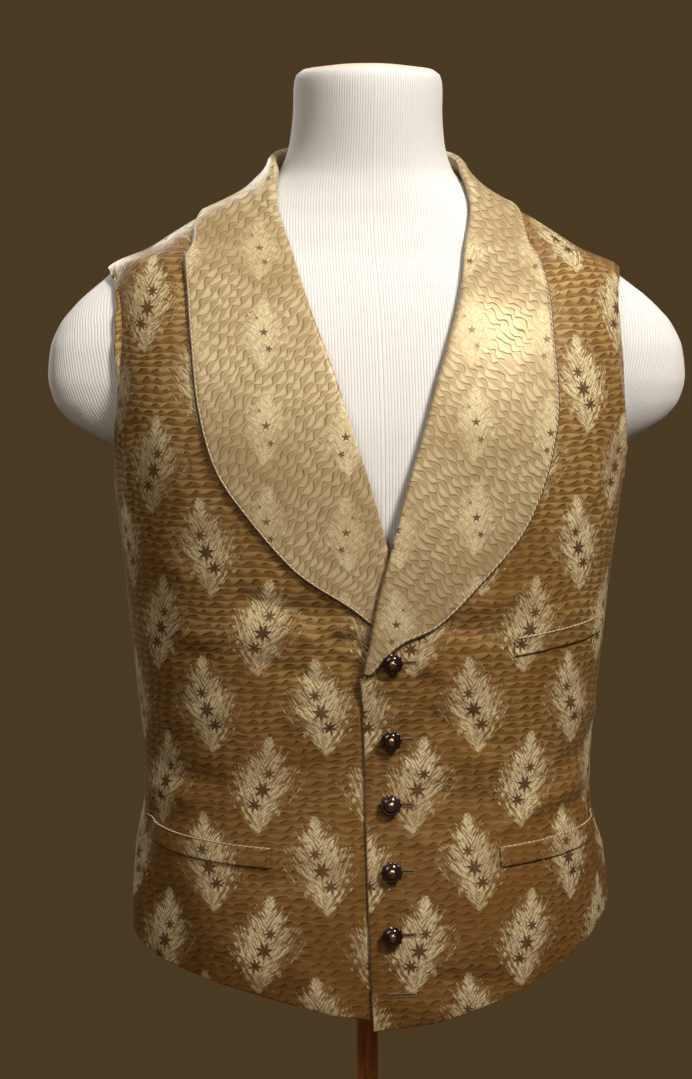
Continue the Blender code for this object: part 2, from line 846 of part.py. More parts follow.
def form_body(name, finish):
    """The dress form, from the socket for the pole up to the closed neck."""
    half = form_angles()
    turn = np.concatenate([half, 360 - half[::-1][1:-1]])
    count = len(turn)
    across = np.where(np.cos(np.radians(turn)) >= 0, LEFT, RIGHT)
    angle = np.degrees(np.arcsin(np.clip(np.sin(np.radians(turn)), -1, 1)))

    def ring(z, scale=1.0, lift=0.0, tilt=0.0):
        points = body_point(across, angle, z)
        centre = np.array([0, float(at_height(TORSO, "centre_y", z)), 0])
        points[:, :2] = (points[:, :2] - centre[:2]) * scale + centre[:2]
        points[:, 2] += lift + tilt * points[:, 1]
        return points

    socket = POLE_RADIUS + POLE_FIT
    turn_rad = np.radians(turn)
    circle = np.stack([np.cos(turn_rad), -np.sin(turn_rad), np.zeros(count)], axis=-1)
    rings = [
        circle * socket + [0, 0, FORM_BOTTOM + POLE_DEPTH],
        circle * socket + [0, 0, FORM_BOTTOM],
        circle * 60 * MM + [0, 0, FORM_BOTTOM],
        ring(FORM_BOTTOM, 0.91),
        ring(FORM_BOTTOM + 4 * MM, 0.97),
        ring(FORM_BOTTOM + 13 * MM),
    ]
    stub_levels = [668, 678, 685, 692, 700, 710, 723, 738, 754, 769, 781, 790, 797, 803, 809, 814, 820]
    neck_levels = [826, 835, 845, 855, 863, 870, 877, 886, 897, 914]
    levels = np.concatenate([np.linspace(412, 650, 8), stub_levels, neck_levels])
    rings += [ring(z * MM) for z in levels]
    rings += [
        ring(FORM_TOP - 10 * MM),
        ring(FORM_TOP, 0.97),
        ring(FORM_TOP, 0.88, 4 * MM),
        ring(FORM_TOP, 0.5, 7 * MM),
    ]
    points = np.vstack(rings + [[[0, 0, FORM_BOTTOM + POLE_DEPTH]], [[0, -2 * MM, FORM_TOP + 8 * MM]]])
    faces = []
    for r in range(len(rings) - 1):
        low, high = r * count, (r + 1) * count
        for k in range(count):
            following = (k + 1) % count
            faces.append((low + following, low + k, high + k, high + following))
    bottom, top = len(points) - 2, len(points) - 1
    last = (len(rings) - 1) * count
    for k in range(count):
        following = (k + 1) % count
        faces.append((bottom, k, following))
        faces.append((top, last + following, last + k))
    return add_object(name, points, faces, finish)


def pole(name, finish):
    foot = POLE_FOOT_Z + POLE_FIT
    top = FORM_BOTTOM + POLE_DEPTH - POLE_FIT
    rings = [(0, foot), (POLE_RADIUS, foot), (POLE_RADIUS, top), (0, top)]
    return turned(name, rings, POLE_SIDES, finish)


def base(name, finish):
    """A round foot with a blind socket for the pole."""
    socket = POLE_RADIUS + POLE_FIT
    rings = [
        (0, 0),
        (BASE_RADIUS - 3 * MM, 0),
        (BASE_RADIUS, 3 * MM),
        (BASE_RADIUS, 10 * MM),
        (BASE_RADIUS - 5 * MM, 15 * MM),
        (BASE_RADIUS - 14 * MM, 17 * MM),
        (40 * MM, BASE_HEIGHT),
        (22 * MM, BASE_HEIGHT + 3 * MM),
        (socket + 4 * MM, BASE_HEIGHT + 8 * MM),
        (socket, BASE_HEIGHT + 8 * MM),
        (socket, POLE_FOOT_Z),
        (0, POLE_FOOT_Z),
    ]
    return turned(name, rings, BASE_SIDES, finish)


def main():
    for old in list(bpy.data.objects):
        bpy.data.objects.remove(old)
    silk = material("figured_silk", (0.42, 0.27, 0.13), 0.45)
    collar_silk = material("collar_silk", (0.50, 0.36, 0.20), 0.45)
    cotton = material("glazed_cotton", (0.36, 0.25, 0.15), 0.6)
    brass = material("dark_button", (0.05, 0.04, 0.035), 0.25, 0.8)
    knit = material("white_knit", (0.85, 0.82, 0.80), 0.85)
    wood = material("varnished_wood", (0.45, 0.17, 0.05), 0.3)

    front_panel("front_right", RIGHT, silk)
    front_panel("front_left", LEFT, silk)
    back_panel("back", cotton)
    collar_half("collar_right", RIGHT, collar_silk)
    collar_half("collar_left", LEFT, collar_silk)
    for name in WELTS:
        welt(name, silk)
    for number, height in enumerate(BUTTON_HEIGHTS, start=1):
        button(f"button_{number}", height * MM, brass)
    form_body("form", knit)
    pole("pole", wood)
    base("base", wood)


main()
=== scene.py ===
"""The looks of a shawl-collared waistcoat of figured silk on a limbless dress form.

Metres, +Z up. The front faces -Y and the wearer's left is +X. Places on the body are an angle and a
height: 0 degrees is the side, 90 the centre front and -90 the centre back. side is +1 for the wearer's
left and -1 for the right. Tables are in millimetres and degrees.
"""

import math

import bpy
import numpy as np
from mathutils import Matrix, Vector


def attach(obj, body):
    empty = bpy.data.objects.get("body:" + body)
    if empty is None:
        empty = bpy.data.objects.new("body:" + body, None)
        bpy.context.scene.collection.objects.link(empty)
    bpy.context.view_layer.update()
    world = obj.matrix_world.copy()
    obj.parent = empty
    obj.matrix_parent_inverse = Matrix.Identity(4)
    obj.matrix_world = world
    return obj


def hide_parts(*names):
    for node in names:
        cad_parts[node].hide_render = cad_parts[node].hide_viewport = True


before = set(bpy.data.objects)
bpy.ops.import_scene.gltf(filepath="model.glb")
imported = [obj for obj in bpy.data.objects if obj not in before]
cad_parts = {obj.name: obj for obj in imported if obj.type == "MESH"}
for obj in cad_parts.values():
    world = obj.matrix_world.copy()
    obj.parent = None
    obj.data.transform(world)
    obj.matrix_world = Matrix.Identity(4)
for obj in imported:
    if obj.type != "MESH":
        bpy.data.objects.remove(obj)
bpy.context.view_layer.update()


MM = 0.001
LEFT = 1
RIGHT = -1

# Cloth
CLOTH = 1.8 * MM
SEAM_GAP = 0.3 * MM
SIDE_SEAM = -7.0
SHOULDER_SEAM = -5.0
CENTRE_BACK = -90.0
FRONT_EDGE = 96

# Heights
FORM_BOTTOM = 375 * MM
FORM_TOP = 950 * MM
BREAK_Z = 538.5 * MM
UNDERARM_FRONT_Z = 665 * MM

# Collar
HOOK = 1.5 * MM
FALL_GAP = 0.8 * MM
NECK_EASE = 0.9 * MM
EASE_STARTS = 0.5
EASE_FULL = 0.68
FOLD_CLOSES = 0.6

# Buttons, welts and stand
BUTTON_X = 2 * MM
BUTTON_HEIGHTS = [546.5, 492, 445, 400, 357.5]
EMPTY_BUTTONHOLE = 317.5
WELT_HEIGHT = 12.5
WELT_THICK = 1.2 * MM
WELT_GAP = 0.6 * MM
POLE_RADIUS = 8 * MM
POLE_FIT = 0.3 * MM
POLE_FOOT_Z = 8 * MM
BASE_RADIUS = 170 * MM
BASE_HEIGHT = 24 * MM


def table(columns, rows):
    """A dictionary of named columns from rows of numbers."""
    values = np.array(rows, dtype=float)
    return {name: values[:, k] for k, name in enumerate(columns)}


# Horizontal sections of the torso: superellipses whose front and back halves differ
TORSO = table(
    ("z", "half_width", "front", "back", "centre_y", "front_square", "back_square"),
    [
        (290, 154, 103, 104, 0, 2.25, 2.2),
        (357, 160, 108, 106, 0, 2.25, 2.2),
        (400, 159, 106, 102, 0, 2.25, 2.2),
        (435, 154, 102, 97, 0, 2.25, 2.2),
        (461, 153, 100, 95, 0, 2.3, 2.2),
        (500, 156, 102, 96, 0, 2.35, 2.25),
        (540, 161, 106, 99, 0, 2.4, 2.3),
        (580, 165, 110, 103, 0, 2.45, 2.35),
        (620, 169.5, 113, 108, 0, 2.55, 2.4),
        (660, 174, 114, 113, 0, 2.7, 2.5),
        (700, 178, 111, 117, 0, 2.85, 2.6),
        (740, 180, 104, 118, 2, 2.9, 2.6),
        (775, 181, 95, 113, 5, 2.8, 2.5),
        (800, 181, 85, 104, 8, 2.5, 2.3),
        (813, 179, 78, 96, 10, 2.3, 2.2),
        (826, 154, 71, 86, 12, 2.15, 2.1),
        (840, 132, 65, 78, 12, 2.05, 2.05),
        (850, 115, 61, 71, 12, 2.0, 2.0),
        (860, 94, 58, 65, 11, 2.0, 2.0),
        (870, 77, 55, 60, 10, 2.0, 2.0),
        (884, 62, 52, 55, 8, 2.0, 2.0),
        (905, 55, 51, 53, 4, 2.0, 2.0),
        (930, 53, 51, 52, 0, 2.0, 2.0),
        (950, 53, 51, 52, -2, 2.0, 2.0),
    ],
)

# Horizontal sections of the arm stubs, which reach out to both sides
STUB = table(
    ("z", "reach", "half_depth"),
    [
        (290, 50, 5),
        (640, 90, 5),
        (668, 130, 6),
        (678, 152, 9),
        (684, 171, 14),
        (690, 187, 22),
        (698, 202, 30),
        (708, 214.5, 36.5),
        (722, 224, 42.5),
        (738, 227.5, 46),
        (756, 226, 46.5),
        (774, 219, 43.5),
        (788, 208, 38),
        (800, 195, 30.5),
        (808, 184, 23.5),
        (813, 174, 17),
        (819, 150, 10),
        (832, 90, 5),
        (950, 20, 5),
    ],
)
STUB_SQUARE = 6
STUB_BLEND = 12 * MM

# How far the cloth's inside stands off the form
STAND_OFF = table(
    ("z", "gap"),
    [
        (290, 11),
        (357, 9),
        (400, 7),
        (435, 6.2),
        (470, 6.6),
        (540, 5.6),
        (620, 5.2),
        (690, 5.2),
        (750, 4.0),
        (780, 3.1),
        (800, 3.3),
        (815, 2.8),
        (830, 2.2),
        (860, 2.0),
        (872, 2.8),
        (884, 4.6),
        (905, 6.5),
        (950, 6.5),
    ],
)

# The left front rises over the right front and its collar where they overlap
OVERLAP_RISE = table(
    ("z", "rise"),
    [(290, 2.5), (498, 2.5), (522, 4.8), (538, 5.5), (630, 5.5), (660, 1.8), (690, 0)],
)
RISE_STARTS_X = 60 * MM
RISE_FULL_X = 27 * MM

# Along the ridge of the shoulders the cloth lies on the form
SEAT_GAP = 0.7 * MM
SEAT_WIDTH = 8
SEAT_LOW_Z = 811 * MM
SEAT_FULL_Z = 822 * MM
SEAT_HIGH_Z = 862 * MM
SEAT_END_Z = 872 * MM

# How far each front edge lies past the centre front, below the collar
LAP = {
    LEFT: table(("z", "past"), [(290, 9.5), (350, 12.6), (410, 14), (490, 15.5), (538.5, 19)]),
    RIGHT: table(("z", "past"), [(290, 19), (538.5, 19)]),
}

# The lower edge, by angle
HEM = {
    RIGHT: table(
        ("angle", "z"),
        [(-90, 352), (-60, 353), (-30, 357), (0, 360), (10, 348), (18.5, 334.5), (30, 325.5), (43.5, 318)]
        + [(60, 308), (73.5, 301.5), (90, 298), (102, 298.5)],
    ),
    LEFT: table(
        ("angle", "z"),
        [(-90, 352), (-60, 353), (-30, 357), (0, 361), (10, 354), (24.5, 336.5), (36.5, 321.5), (50.5, 308)]
        + [(73.5, 295.5), (90, 292), (102, 290.5)],
    ),
}

# Armholes, from the underarm at the side seam over the front to the shoulder tip
ARMHOLE_FRONT = {
    RIGHT: table(
        ("z", "angle"),
        [(660, -7), (664, 2), (674, 6), (690, 9.5), (710, 12.5), (735, 14), (765, 13.6), (785, 11.8)]
        + [(800, 8.9), (809, 5), (814, -1), (815.5, -5)],
    ),
    LEFT: table(
        ("z", "angle"),
        [(646, -7), (649, 2), (658, 9), (672, 14), (690, 16.8), (710, 17.8), (735, 17.9), (765, 17)]
        + [(785, 15.2), (800, 12), (810, 7), (815.5, -5)],
    ),
}
ARMHOLE_BACK = table(
    ("z", "angle"),
    [(667, -13), (680, -18), (700, -21.5), (730, -23), (760, -22.5), (785, -20), (800, -16.5)]
    + [(809, -12.5), (815.5, -5)],
)

# The collar: the rolled edge's tip, from the break round the neck to the centre back, the height of the
# stand below it and the gap inside the fold
COLLAR_ROLL = table(
    ("angle", "z", "stand", "fold_gap"),
    [
        (99.3, 538.5, 0, 0.8),
        (97.0, 559, 0, 0.8),
        (94.5, 585, 0, 0.8),
        (90.0, 620, 0, 0.8),
        (84.5, 660, 0, 1.2),
        (78.0, 700, 0, 1.5),
        (71.0, 740, 0, 1.6),
        (62.0, 780, 0, 1.6),
        (53.5, 810, 0, 1.6),
        (42.0, 840, 5, 1.6),
        (28.0, 866, 12, 1.6),
        (12.0, 884, 18, 1.6),
        (-8.0, 893, 22, 1.6),
        (-40.0, 900, 26, 1.6),
        (-89.85, 903, 28, 1.6),
    ],
)
COLLAR_EDGE = {
    LEFT: table(
        ("angle", "z"),
        [(97.5, 538.5), (86.7, 559.5), (73.5, 572), (59.0, 603), (48.5, 637), (43.5, 675), (40.0, 716)]
        + [(37.5, 762), (33.5, 795), (28.0, 822), (20.0, 843), (5.0, 857), (-14.0, 858), (-40.0, 858)]
        + [(-89.9, 859)],
    ),
    RIGHT: table(
        ("angle", "z"),
        [(97.5, 538.5), (91.0, 560), (78.5, 582), (61.0, 608), (49.0, 644), (41.5, 677), (37.0, 718)]
        + [(33.5, 759), (30.0, 787), (24.5, 812), (16.0, 835), (3.0, 850.5), (-14.0, 854), (-40.0, 857)]
        + [(-89.9, 859)],
    ),
}

# Soft folds: each runs between two places, is raised or sunk by height, and fades over width. The large
# ones are in the solids too, the small creases only here.
FOLD_COLUMNS = ("angle_1", "z_1", "angle_2", "z_2", "height", "width")
FOLDS = {
    RIGHT: table(
        FOLD_COLUMNS,
        [
            (47, 587, 68, 578, -2.4, 8),
            (9, 388, 12, 330, 3.0, 13),
            (24, 372, 30, 318, -1.8, 14),
            (60, 332, 72, 308, 1.8, 12),
            (14, 470, 34, 458, -1.6, 9),
            (-30, 470, -62, 455, -2.0, 11),
            (-26, 395, -32, 352, 2.5, 16),
            (-66, 400, -70, 352, 2.2, 18),
            (-28, 690, -44, 640, -1.8, 12),
        ],
    ),
    LEFT: table(
        FOLD_COLUMNS,
        [
            (80, 532, 70, 500, -2.2, 7),
            (76, 545, 64, 512, 1.2, 7),
            (70, 571, 52, 567, -1.6, 8),
            (38, 441, 26, 446, 2.0, 7),
            (88, 312, 70, 306, 1.6, 8),
            (2, 392, 8, 334, 3.6, 15),
            (26, 380, 33, 325, -1.6, 15),
            (15, 480, 30, 462, -1.6, 9),
            (-20, 668, -2, 652, 4.0, 11),
            (-34, 478, -58, 462, -2.0, 11),
            (-48, 392, -50, 352, 2.4, 17),
            (-30, 705, -42, 650, -1.6, 12),
        ],
    ),
}
CREASES = {
    RIGHT: table(
        FOLD_COLUMNS,
        [
            (62, 562, 78, 570, 0.9, 5),
            (70, 548, 84, 540, -0.7, 5),
            (30, 560, 44, 566, 0.8, 7),
            (56, 470, 72, 476, -0.5, 6),
            (20, 500, 40, 512, 0.6, 8),
            (12, 650, 24, 622, -0.8, 5),
            (15, 640, 30, 606, 0.8, 6),
            (10, 452, 26, 444, 0.7, 5),
            (40, 350, 50, 326, 0.7, 8),
            (-14, 640, -26, 600, -0.9, 8),
            (-20, 500, -48, 492, 0.7, 7),
            (-42, 520, -66, 508, -0.8, 8),
            (-70, 640, -82, 600, 0.6, 12),
            (-50, 760, -74, 740, 0.7, 12),
            (66, 566, 80, 557, -1.1, 4.5),
            (50, 545, 66, 533, -0.8, 6),
            (20, 560, 34, 548, -0.9, 7),
            (58, 505, 80, 512, 0.8, 7),
            (48, 392, 70, 398, -0.7, 8),
            (12, 430, 9, 385, -1.3, 7),
            (20, 690, 16, 655, 0.9, 6),
        ],
    ),
    LEFT: table(
        FOLD_COLUMNS,
        [
            (88, 527, 95, 531, 0.7, 3.5),
            (87, 519, 95, 521, -0.3, 3),
            (82, 508, 93, 511, 0.6, 4),
            (64, 512, 56, 488, -0.8, 6),
            (60, 584, 46, 592, 0.8, 6),
            (84, 474, 72, 466, 0.7, 5),
            (84, 424, 74, 417, 0.6, 5),
            (86, 380, 78, 372, 0.6, 5),
            (50, 424, 38, 436, 0.8, 5),
            (30, 430, 18, 438, -0.8, 5),
            (22, 742, 18, 690, 1.0, 4.5),
            (18, 688, 15, 668, 0.8, 4),
            (20, 690, 30, 640, -0.8, 6),
            (26, 668, 38, 630, 0.7, 7),
            (10, 500, 26, 508, 0.7, 7),
            (60, 350, 66, 320, 0.7, 8),
            (-14, 630, -30, 590, -0.9, 8),
            (-24, 508, -50, 498, 0.8, 8),
            (-44, 530, -70, 516, -0.8, 8),
            (-60, 650, -76, 610, 0.7, 12),
            (74, 534, 60, 504, -1.0, 5),
            (86, 541, 74, 516, 0.9, 4),
            (66, 566, 46, 556, -0.9, 5),
            (62, 478, 44, 470, 0.8, 7),
            (72, 452, 52, 446, -0.7, 7),
            (50, 560, 30, 575, 0.7, 7),
            (34, 462, 20, 448, 0.9, 7),
            (70, 327, 52, 320, -0.9, 6),
            (84, 300, 72, 300, 0.5, 5),
            (12, 440, 8, 392, -1.4, 8),
        ],
    ),
}
# The looks have deeper folds than the solids, by these factors
FOLD_DEPTH = 1.35
CREASE_DEPTH = 2.1
for this_side in (LEFT, RIGHT):
    FOLDS[this_side]["height"] *= FOLD_DEPTH
    CREASES[this_side]["height"] *= CREASE_DEPTH
    FOLDS[this_side] = {
        name: np.append(FOLDS[this_side][name], CREASES[this_side][name]) for name in FOLD_COLUMNS
    }

# The upper edges of the welts
WELTS = {
    "welt_lower_right": (RIGHT, table(("angle", "z"), [(9, 427), (24, 419.5), (39, 416), (51, 414.5)])),
    "welt_lower_left": (LEFT, table(("angle", "z"), [(9, 424.5), (24, 417.5), (39, 414), (51, 412)])),
    "welt_breast_left": (LEFT, table(("angle", "z"), [(17, 572), (27, 567.5), (38, 563.5), (48, 560)])),
}

# Mesh spacing, and the rounding of the cloth's edges: how thick it is at these distances from an edge
SPACING = 3.2 * MM
EDGE_DISTANCES = np.array([0, 0.35, 0.9, 1.8]) * MM
EDGE_SHARES = np.array([0.3, 0.74, 0.94, 1.0])

# Usual lengths of the rows of each piece, which set how many columns it has
FRONT_ROW = 200 * MM
BACK_ROW = 230 * MM
FALL_ROW = 70 * MM
FALL_SPACING = 2.2 * MM
WELT_ROW = 88 * MM
WELT_SPACING = 2.4 * MM

# Points along a fall's path, the neckline, the collar's stand and its roll
FALL_POINTS = 49
NECK_POINTS = 121
STAND_POINTS = 6
ROLL_POINTS = 11

# The body's surface

KNOWN_SLOPES = {}


def slopes(x, y):
    """Slopes at the points of a table, for a curve that never swings past its own points. They are worked
    out once for each table."""
    key = (x.tobytes(), y.tobytes())
    if key not in KNOWN_SLOPES:
        step = np.diff(x)
        rise = np.diff(y) / step
        result = np.zeros(len(x))
        for i in range(1, len(x) - 1):
            if rise[i - 1] * rise[i] > 0:
                near = 2 * step[i] + step[i - 1]
                far = step[i] + 2 * step[i - 1]
                result[i] = (near + far) / (near / rise[i - 1] + far / rise[i])
        result[0] = rise[0]
        result[-1] = rise[-1]
        KNOWN_SLOPES[key] = result
    return KNOWN_SLOPES[key]


def curve(x, y, at):
    """The smooth curve through the points (x, y), read at any places within them."""
    at = np.clip(np.asarray(at, dtype=float), x[0], x[-1])
    slope = slopes(x, y)
    i = np.clip(np.searchsorted(x, at, side="right") - 1, 0, len(x) - 2)
    step = x[i + 1] - x[i]
    t = (at - x[i]) / step
    return (
        (1 + 2 * t) * (1 - t) ** 2 * y[i]
        + t * (1 - t) ** 2 * step * slope[i]
        + t * t * (3 - 2 * t) * y[i + 1]
        + t * t * (t - 1) * step * slope[i + 1]
    )


def at_height(rows, name, z):
    """A column in millimetres, read at heights in metres."""
    return curve(rows["z"], rows[name], np.asarray(z) / MM) * MM


def smooth_step(start, end, value):
    t = np.clip((value - start) / (end - start), 0, 1)
    return t * t * (3 - 2 * t)


def running_length(points):
    """How far along a line of points each of them is."""
    return np.concatenate([[0], np.cumsum(np.linalg.norm(np.diff(points, axis=0), axis=1))])


def line_height(line, angle):
    """The height at an angle of a line such as the hem or a welt's upper edge."""
    return curve(line["angle"], line["z"], angle) * MM


def line_places(line):
    """The points of such a line, as rows of angle and height."""
    return np.stack([line["angle"], line["z"] * MM], axis=-1)


def body_point(side, angle, z):
    """A point of the form's surface: the torso and the arm stubs, blended."""
    angle, z = np.broadcast_arrays(np.asarray(angle, dtype=float), np.asarray(z, dtype=float))
    across = np.cos(np.radians(angle))
    ahead = np.sin(np.radians(angle))
    in_front = ahead > 0
    depth = np.where(in_front, at_height(TORSO, "front", z), at_height(TORSO, "back", z))
    square = np.where(in_front, at_height(TORSO, "front_square", z), at_height(TORSO, "back_square", z)) / MM
    width = at_height(TORSO, "half_width", z)
    torso = (np.abs(across / width) ** square + np.abs(ahead / depth) ** square) ** (-1 / square)
    reach = at_height(STUB, "reach", z)
    half_depth = at_height(STUB, "half_depth", z)
    stub = (np.abs(across / reach) ** STUB_SQUARE + np.abs(ahead / half_depth) ** STUB_SQUARE) ** (
        -1 / STUB_SQUARE
    )
    near = np.clip(1 - np.abs(torso - stub) / STUB_BLEND, 0, 1)
    radius = np.maximum(torso, stub) + STUB_BLEND / 4 * near**2
    y = at_height(TORSO, "centre_y", z) - radius * ahead
    return np.stack([side * radius * across, y, z], axis=-1)


def body_normal(side, angle, z):
    """The outward normal of the form's surface."""
    turn = 0.12
    lift = 1.5 * MM
    along = body_point(side, angle + turn, z) - body_point(side, angle - turn, z)
    up = body_point(side, angle, z + lift) - body_point(side, angle, z - lift)
    normal = np.cross(up, along) * np.asarray(side)[..., None]
    return normal / np.linalg.norm(normal, axis=-1, keepdims=True)


def distance_to_line(points, start, end):
    line = end - start
    t = np.clip(((points - start) @ line) / (line @ line), 0, 1)
    return np.linalg.norm(points - start - t[..., None] * line, axis=-1)


FOLD_ENDS = {
    side: (
        body_point(side, folds["angle_1"], folds["z_1"] * MM),
        body_point(side, folds["angle_2"], folds["z_2"] * MM),
    )
    for side, folds in FOLDS.items()
}


def fold_height(side, angle, z):
    """The sum of the soft folds at a place."""
    folds = FOLDS[side]
    starts, ends = FOLD_ENDS[side]
    points = body_point(side, angle, z)
    total = np.zeros(points.shape[:-1])
    for k in range(len(folds["z_1"])):
        distance = distance_to_line(points, starts[k], ends[k])
        total += folds["height"][k] * MM * np.exp(-((distance / (folds["width"][k] * MM)) ** 2))
    return total


def inside_offset(side, angle, z):
    """How far the cloth's inner face is from the form."""
    angle, z = np.broadcast_arrays(np.asarray(angle, dtype=float), np.asarray(z, dtype=float))
    offset = at_height(STAND_OFF, "gap", z) + fold_height(side, angle, z)
    seat = np.exp(-(((angle - SHOULDER_SEAM) / SEAT_WIDTH) ** 2))
    seat = seat * smooth_step(SEAT_LOW_Z, SEAT_FULL_Z, z) * smooth_step(SEAT_END_Z, SEAT_HIGH_Z, z)
    offset = offset + (SEAT_GAP - offset) * seat
    if side == LEFT:
        x = body_point(side, angle, z)[..., 0]
        in_front = angle > 0
        rise = at_height(OVERLAP_RISE, "rise", z) * smooth_step(RISE_STARTS_X, RISE_FULL_X, x)
        offset = offset + np.where(in_front, rise, 0)
    return offset


def cloth_point(side, angle, z, above=0.0):
    """A point at a distance above the cloth's inner face. The outer face is at CLOTH."""
    offset = inside_offset(side, angle, z) + above
    return body_point(side, angle, z) + body_normal(side, angle, z) * offset[..., None]


def front_angle(x, z):
    """The angle of a place on the front at a distance x to the wearer's own side of the centre."""
    width = at_height(TORSO, "half_width", z)
    square = at_height(TORSO, "front_square", z) / MM
    depth = at_height(TORSO, "front", z) * (1 - np.abs(x / width) ** square) ** (1 / square)
    return 90 - np.degrees(np.arctan2(x, depth))


def seam_angle(z, angle, towards):
    """An angle moved by half a seam's gap."""
    radius = np.linalg.norm(body_point(LEFT, angle, z)[..., :2], axis=-1)
    return angle + towards * np.degrees(SEAM_GAP / 2 / radius)


# Cloth coordinates: lengths along the surface from the centre front, and up from the waist. They are worked
# out on a grid of places and read between them, up to the last column and row.
FLAT_ANGLES = np.arange(-92.0, 132.1, 1.5)
FLAT_HEIGHTS = np.arange(284.0, 956.1, 3.0) * MM
LAST_COLUMN = 148.99
LAST_ROW = 222.99
WAIST_Z = 500 * MM


def flat_tables():
    angles, heights = np.meshgrid(FLAT_ANGLES, FLAT_HEIGHTS)
    points = body_point(LEFT, angles, heights)
    points = points + body_normal(LEFT, angles, heights) * at_height(STAND_OFF, "gap", heights)[..., None]
    step = np.linalg.norm(np.diff(points, axis=1), axis=-1)
    across = np.concatenate([np.zeros((len(FLAT_HEIGHTS), 1)), np.cumsum(step, axis=1)], axis=1)
    front = int(np.argmin(np.abs(FLAT_ANGLES - 90)))
    across = across[:, front : front + 1] - across
    climb = np.linalg.norm(np.diff(points, axis=0), axis=-1) ** 2 - np.diff(across, axis=0) ** 2
    climb = np.sqrt(np.maximum(climb, np.diff(points[..., 2], axis=0) ** 2))
    up = np.concatenate([np.zeros((1, len(FLAT_ANGLES))), np.cumsum(climb, axis=0)], axis=0)
    waist = int(np.argmin(np.abs(FLAT_HEIGHTS - WAIST_Z)))
    up = up - up[waist : waist + 1] + FLAT_HEIGHTS[waist]
    return across, up


ACROSS, UP = flat_tables()


def cloth_uv(side, angle, z):
    """The flat place of a point of the cloth: metres to the wearer's left, and metres up."""
    a = np.clip((np.asarray(angle) - FLAT_ANGLES[0]) / (FLAT_ANGLES[1] - FLAT_ANGLES[0]), 0, LAST_COLUMN)
    h = np.clip((np.asarray(z) - FLAT_HEIGHTS[0]) / (FLAT_HEIGHTS[1] - FLAT_HEIGHTS[0]), 0, LAST_ROW)
    i, j = h.astype(int), a.astype(int)
    s, t = h - i, a - j
    both = []
    for values in (ACROSS, UP):
        low = values[i, j] * (1 - t) + values[i, j + 1] * t
        high = values[i + 1, j] * (1 - t) + values[i + 1, j + 1] * t
        both.append(low * (1 - s) + high * s)
    return np.stack([side * both[0], both[1]], axis=-1)


# Collar stations


def collar_row(side, station):
    """The roll's tip, the fall's edge, the stand and the fold's gap at a station from 0 to 1."""
    marks = np.linspace(0, 1, len(COLLAR_ROLL["z"]))
    roll = COLLAR_ROLL
    edge = COLLAR_EDGE[side]
    tip = np.array([curve(marks, roll["angle"], station), curve(marks, roll["z"], station) * MM])
    rim = np.array([curve(marks, edge["angle"], station), curve(marks, edge["z"], station) * MM])
    stand = HOOK + float(curve(marks, roll["stand"], station)) * MM
    fold_gap = float(curve(marks, roll["fold_gap"], station)) * MM
    return tip, rim, stand, fold_gap


def fall_path(side, tip, rim):
    """Places from the roll's tip to the fall's edge, with their distance from the tip."""
    places = tip + (rim - tip) * np.linspace(0, 1, FALL_POINTS)[:, None]
    return places, running_length(cloth_point(side, *places.T, CLOTH))


def place_at(places, distance, wanted):
    return np.array([np.interp(wanted, distance, places[:, 0]), np.interp(wanted, distance, places[:, 1])])


def neckline_place(side, station):
    """Where the front's or back's edge is sewn to the collar."""
    tip, rim, stand, fold_gap = collar_row(side, station)
    places, distance = fall_path(side, tip, rim)
    fold_radius = CLOTH + fold_gap / 2
    return place_at(places, distance, fold_radius + stand + SEAM_GAP)


def neckline(side):
    """The neckline from the break to the centre back: its places, their collar stations and their lengths
    along it, and the length at the shoulder seam."""
    stations = np.linspace(0, 1, NECK_POINTS)
    places = np.array([neckline_place(side, s) for s in stations])
    length = running_length(body_point(side, *places.T))
    shoulder = np.interp(-SHOULDER_SEAM, -places[:, 0], length)
    return {"places": places, "stations": stations, "length": length, "shoulder": shoulder}


NECKLINES = {side: neckline(side) for side in (LEFT, RIGHT)}


def neck_place(side, length):
    """The angle and the height at a length along the neckline."""
    return place_at(NECKLINES[side]["places"], NECKLINES[side]["length"], length)


# Meshes


def add_mesh(name, points, faces, materials, uv=None, face_materials=None, smooth=True):
    """A mesh piece with its materials, and its cloth coordinates if it has any."""
    mesh = bpy.data.meshes.new(name)
    mesh.from_pydata([tuple(p) for p in np.asarray(points)], [], faces)
    for finish in materials:
        mesh.materials.append(finish)
    if face_materials is not None:
        mesh.polygons.foreach_set("material_index", np.asarray(face_materials, dtype=np.int32))
    if uv is not None:
        layer = mesh.uv_layers.new(name="cloth")
        corner = np.empty(len(mesh.loops), dtype=np.int32)
        mesh.loops.foreach_get("vertex_index", corner)
        layer.data.foreach_set("uv", np.asarray(uv)[corner].astype(np.float32).ravel())
    if smooth:
        mesh.shade_smooth()
    made = bpy.data.objects.new(name, mesh)
    bpy.context.scene.collection.objects.link(made)
    return made


def quads_of(index, flip):
    """The faces over a grid of point numbers, without those that shrink to a line."""
    a, b = index[:-1, :-1].ravel(), index[:-1, 1:].ravel()
    d, c = index[1:, :-1].ravel(), index[1:, 1:].ravel()
    faces = []
    for face in zip(a.tolist(), b.tolist(), c.tolist(), d.tolist()):
        corners = tuple(dict.fromkeys(face))
        if len(corners) >= 3:
            faces.append(corners[::-1] if flip else corners)
    return faces


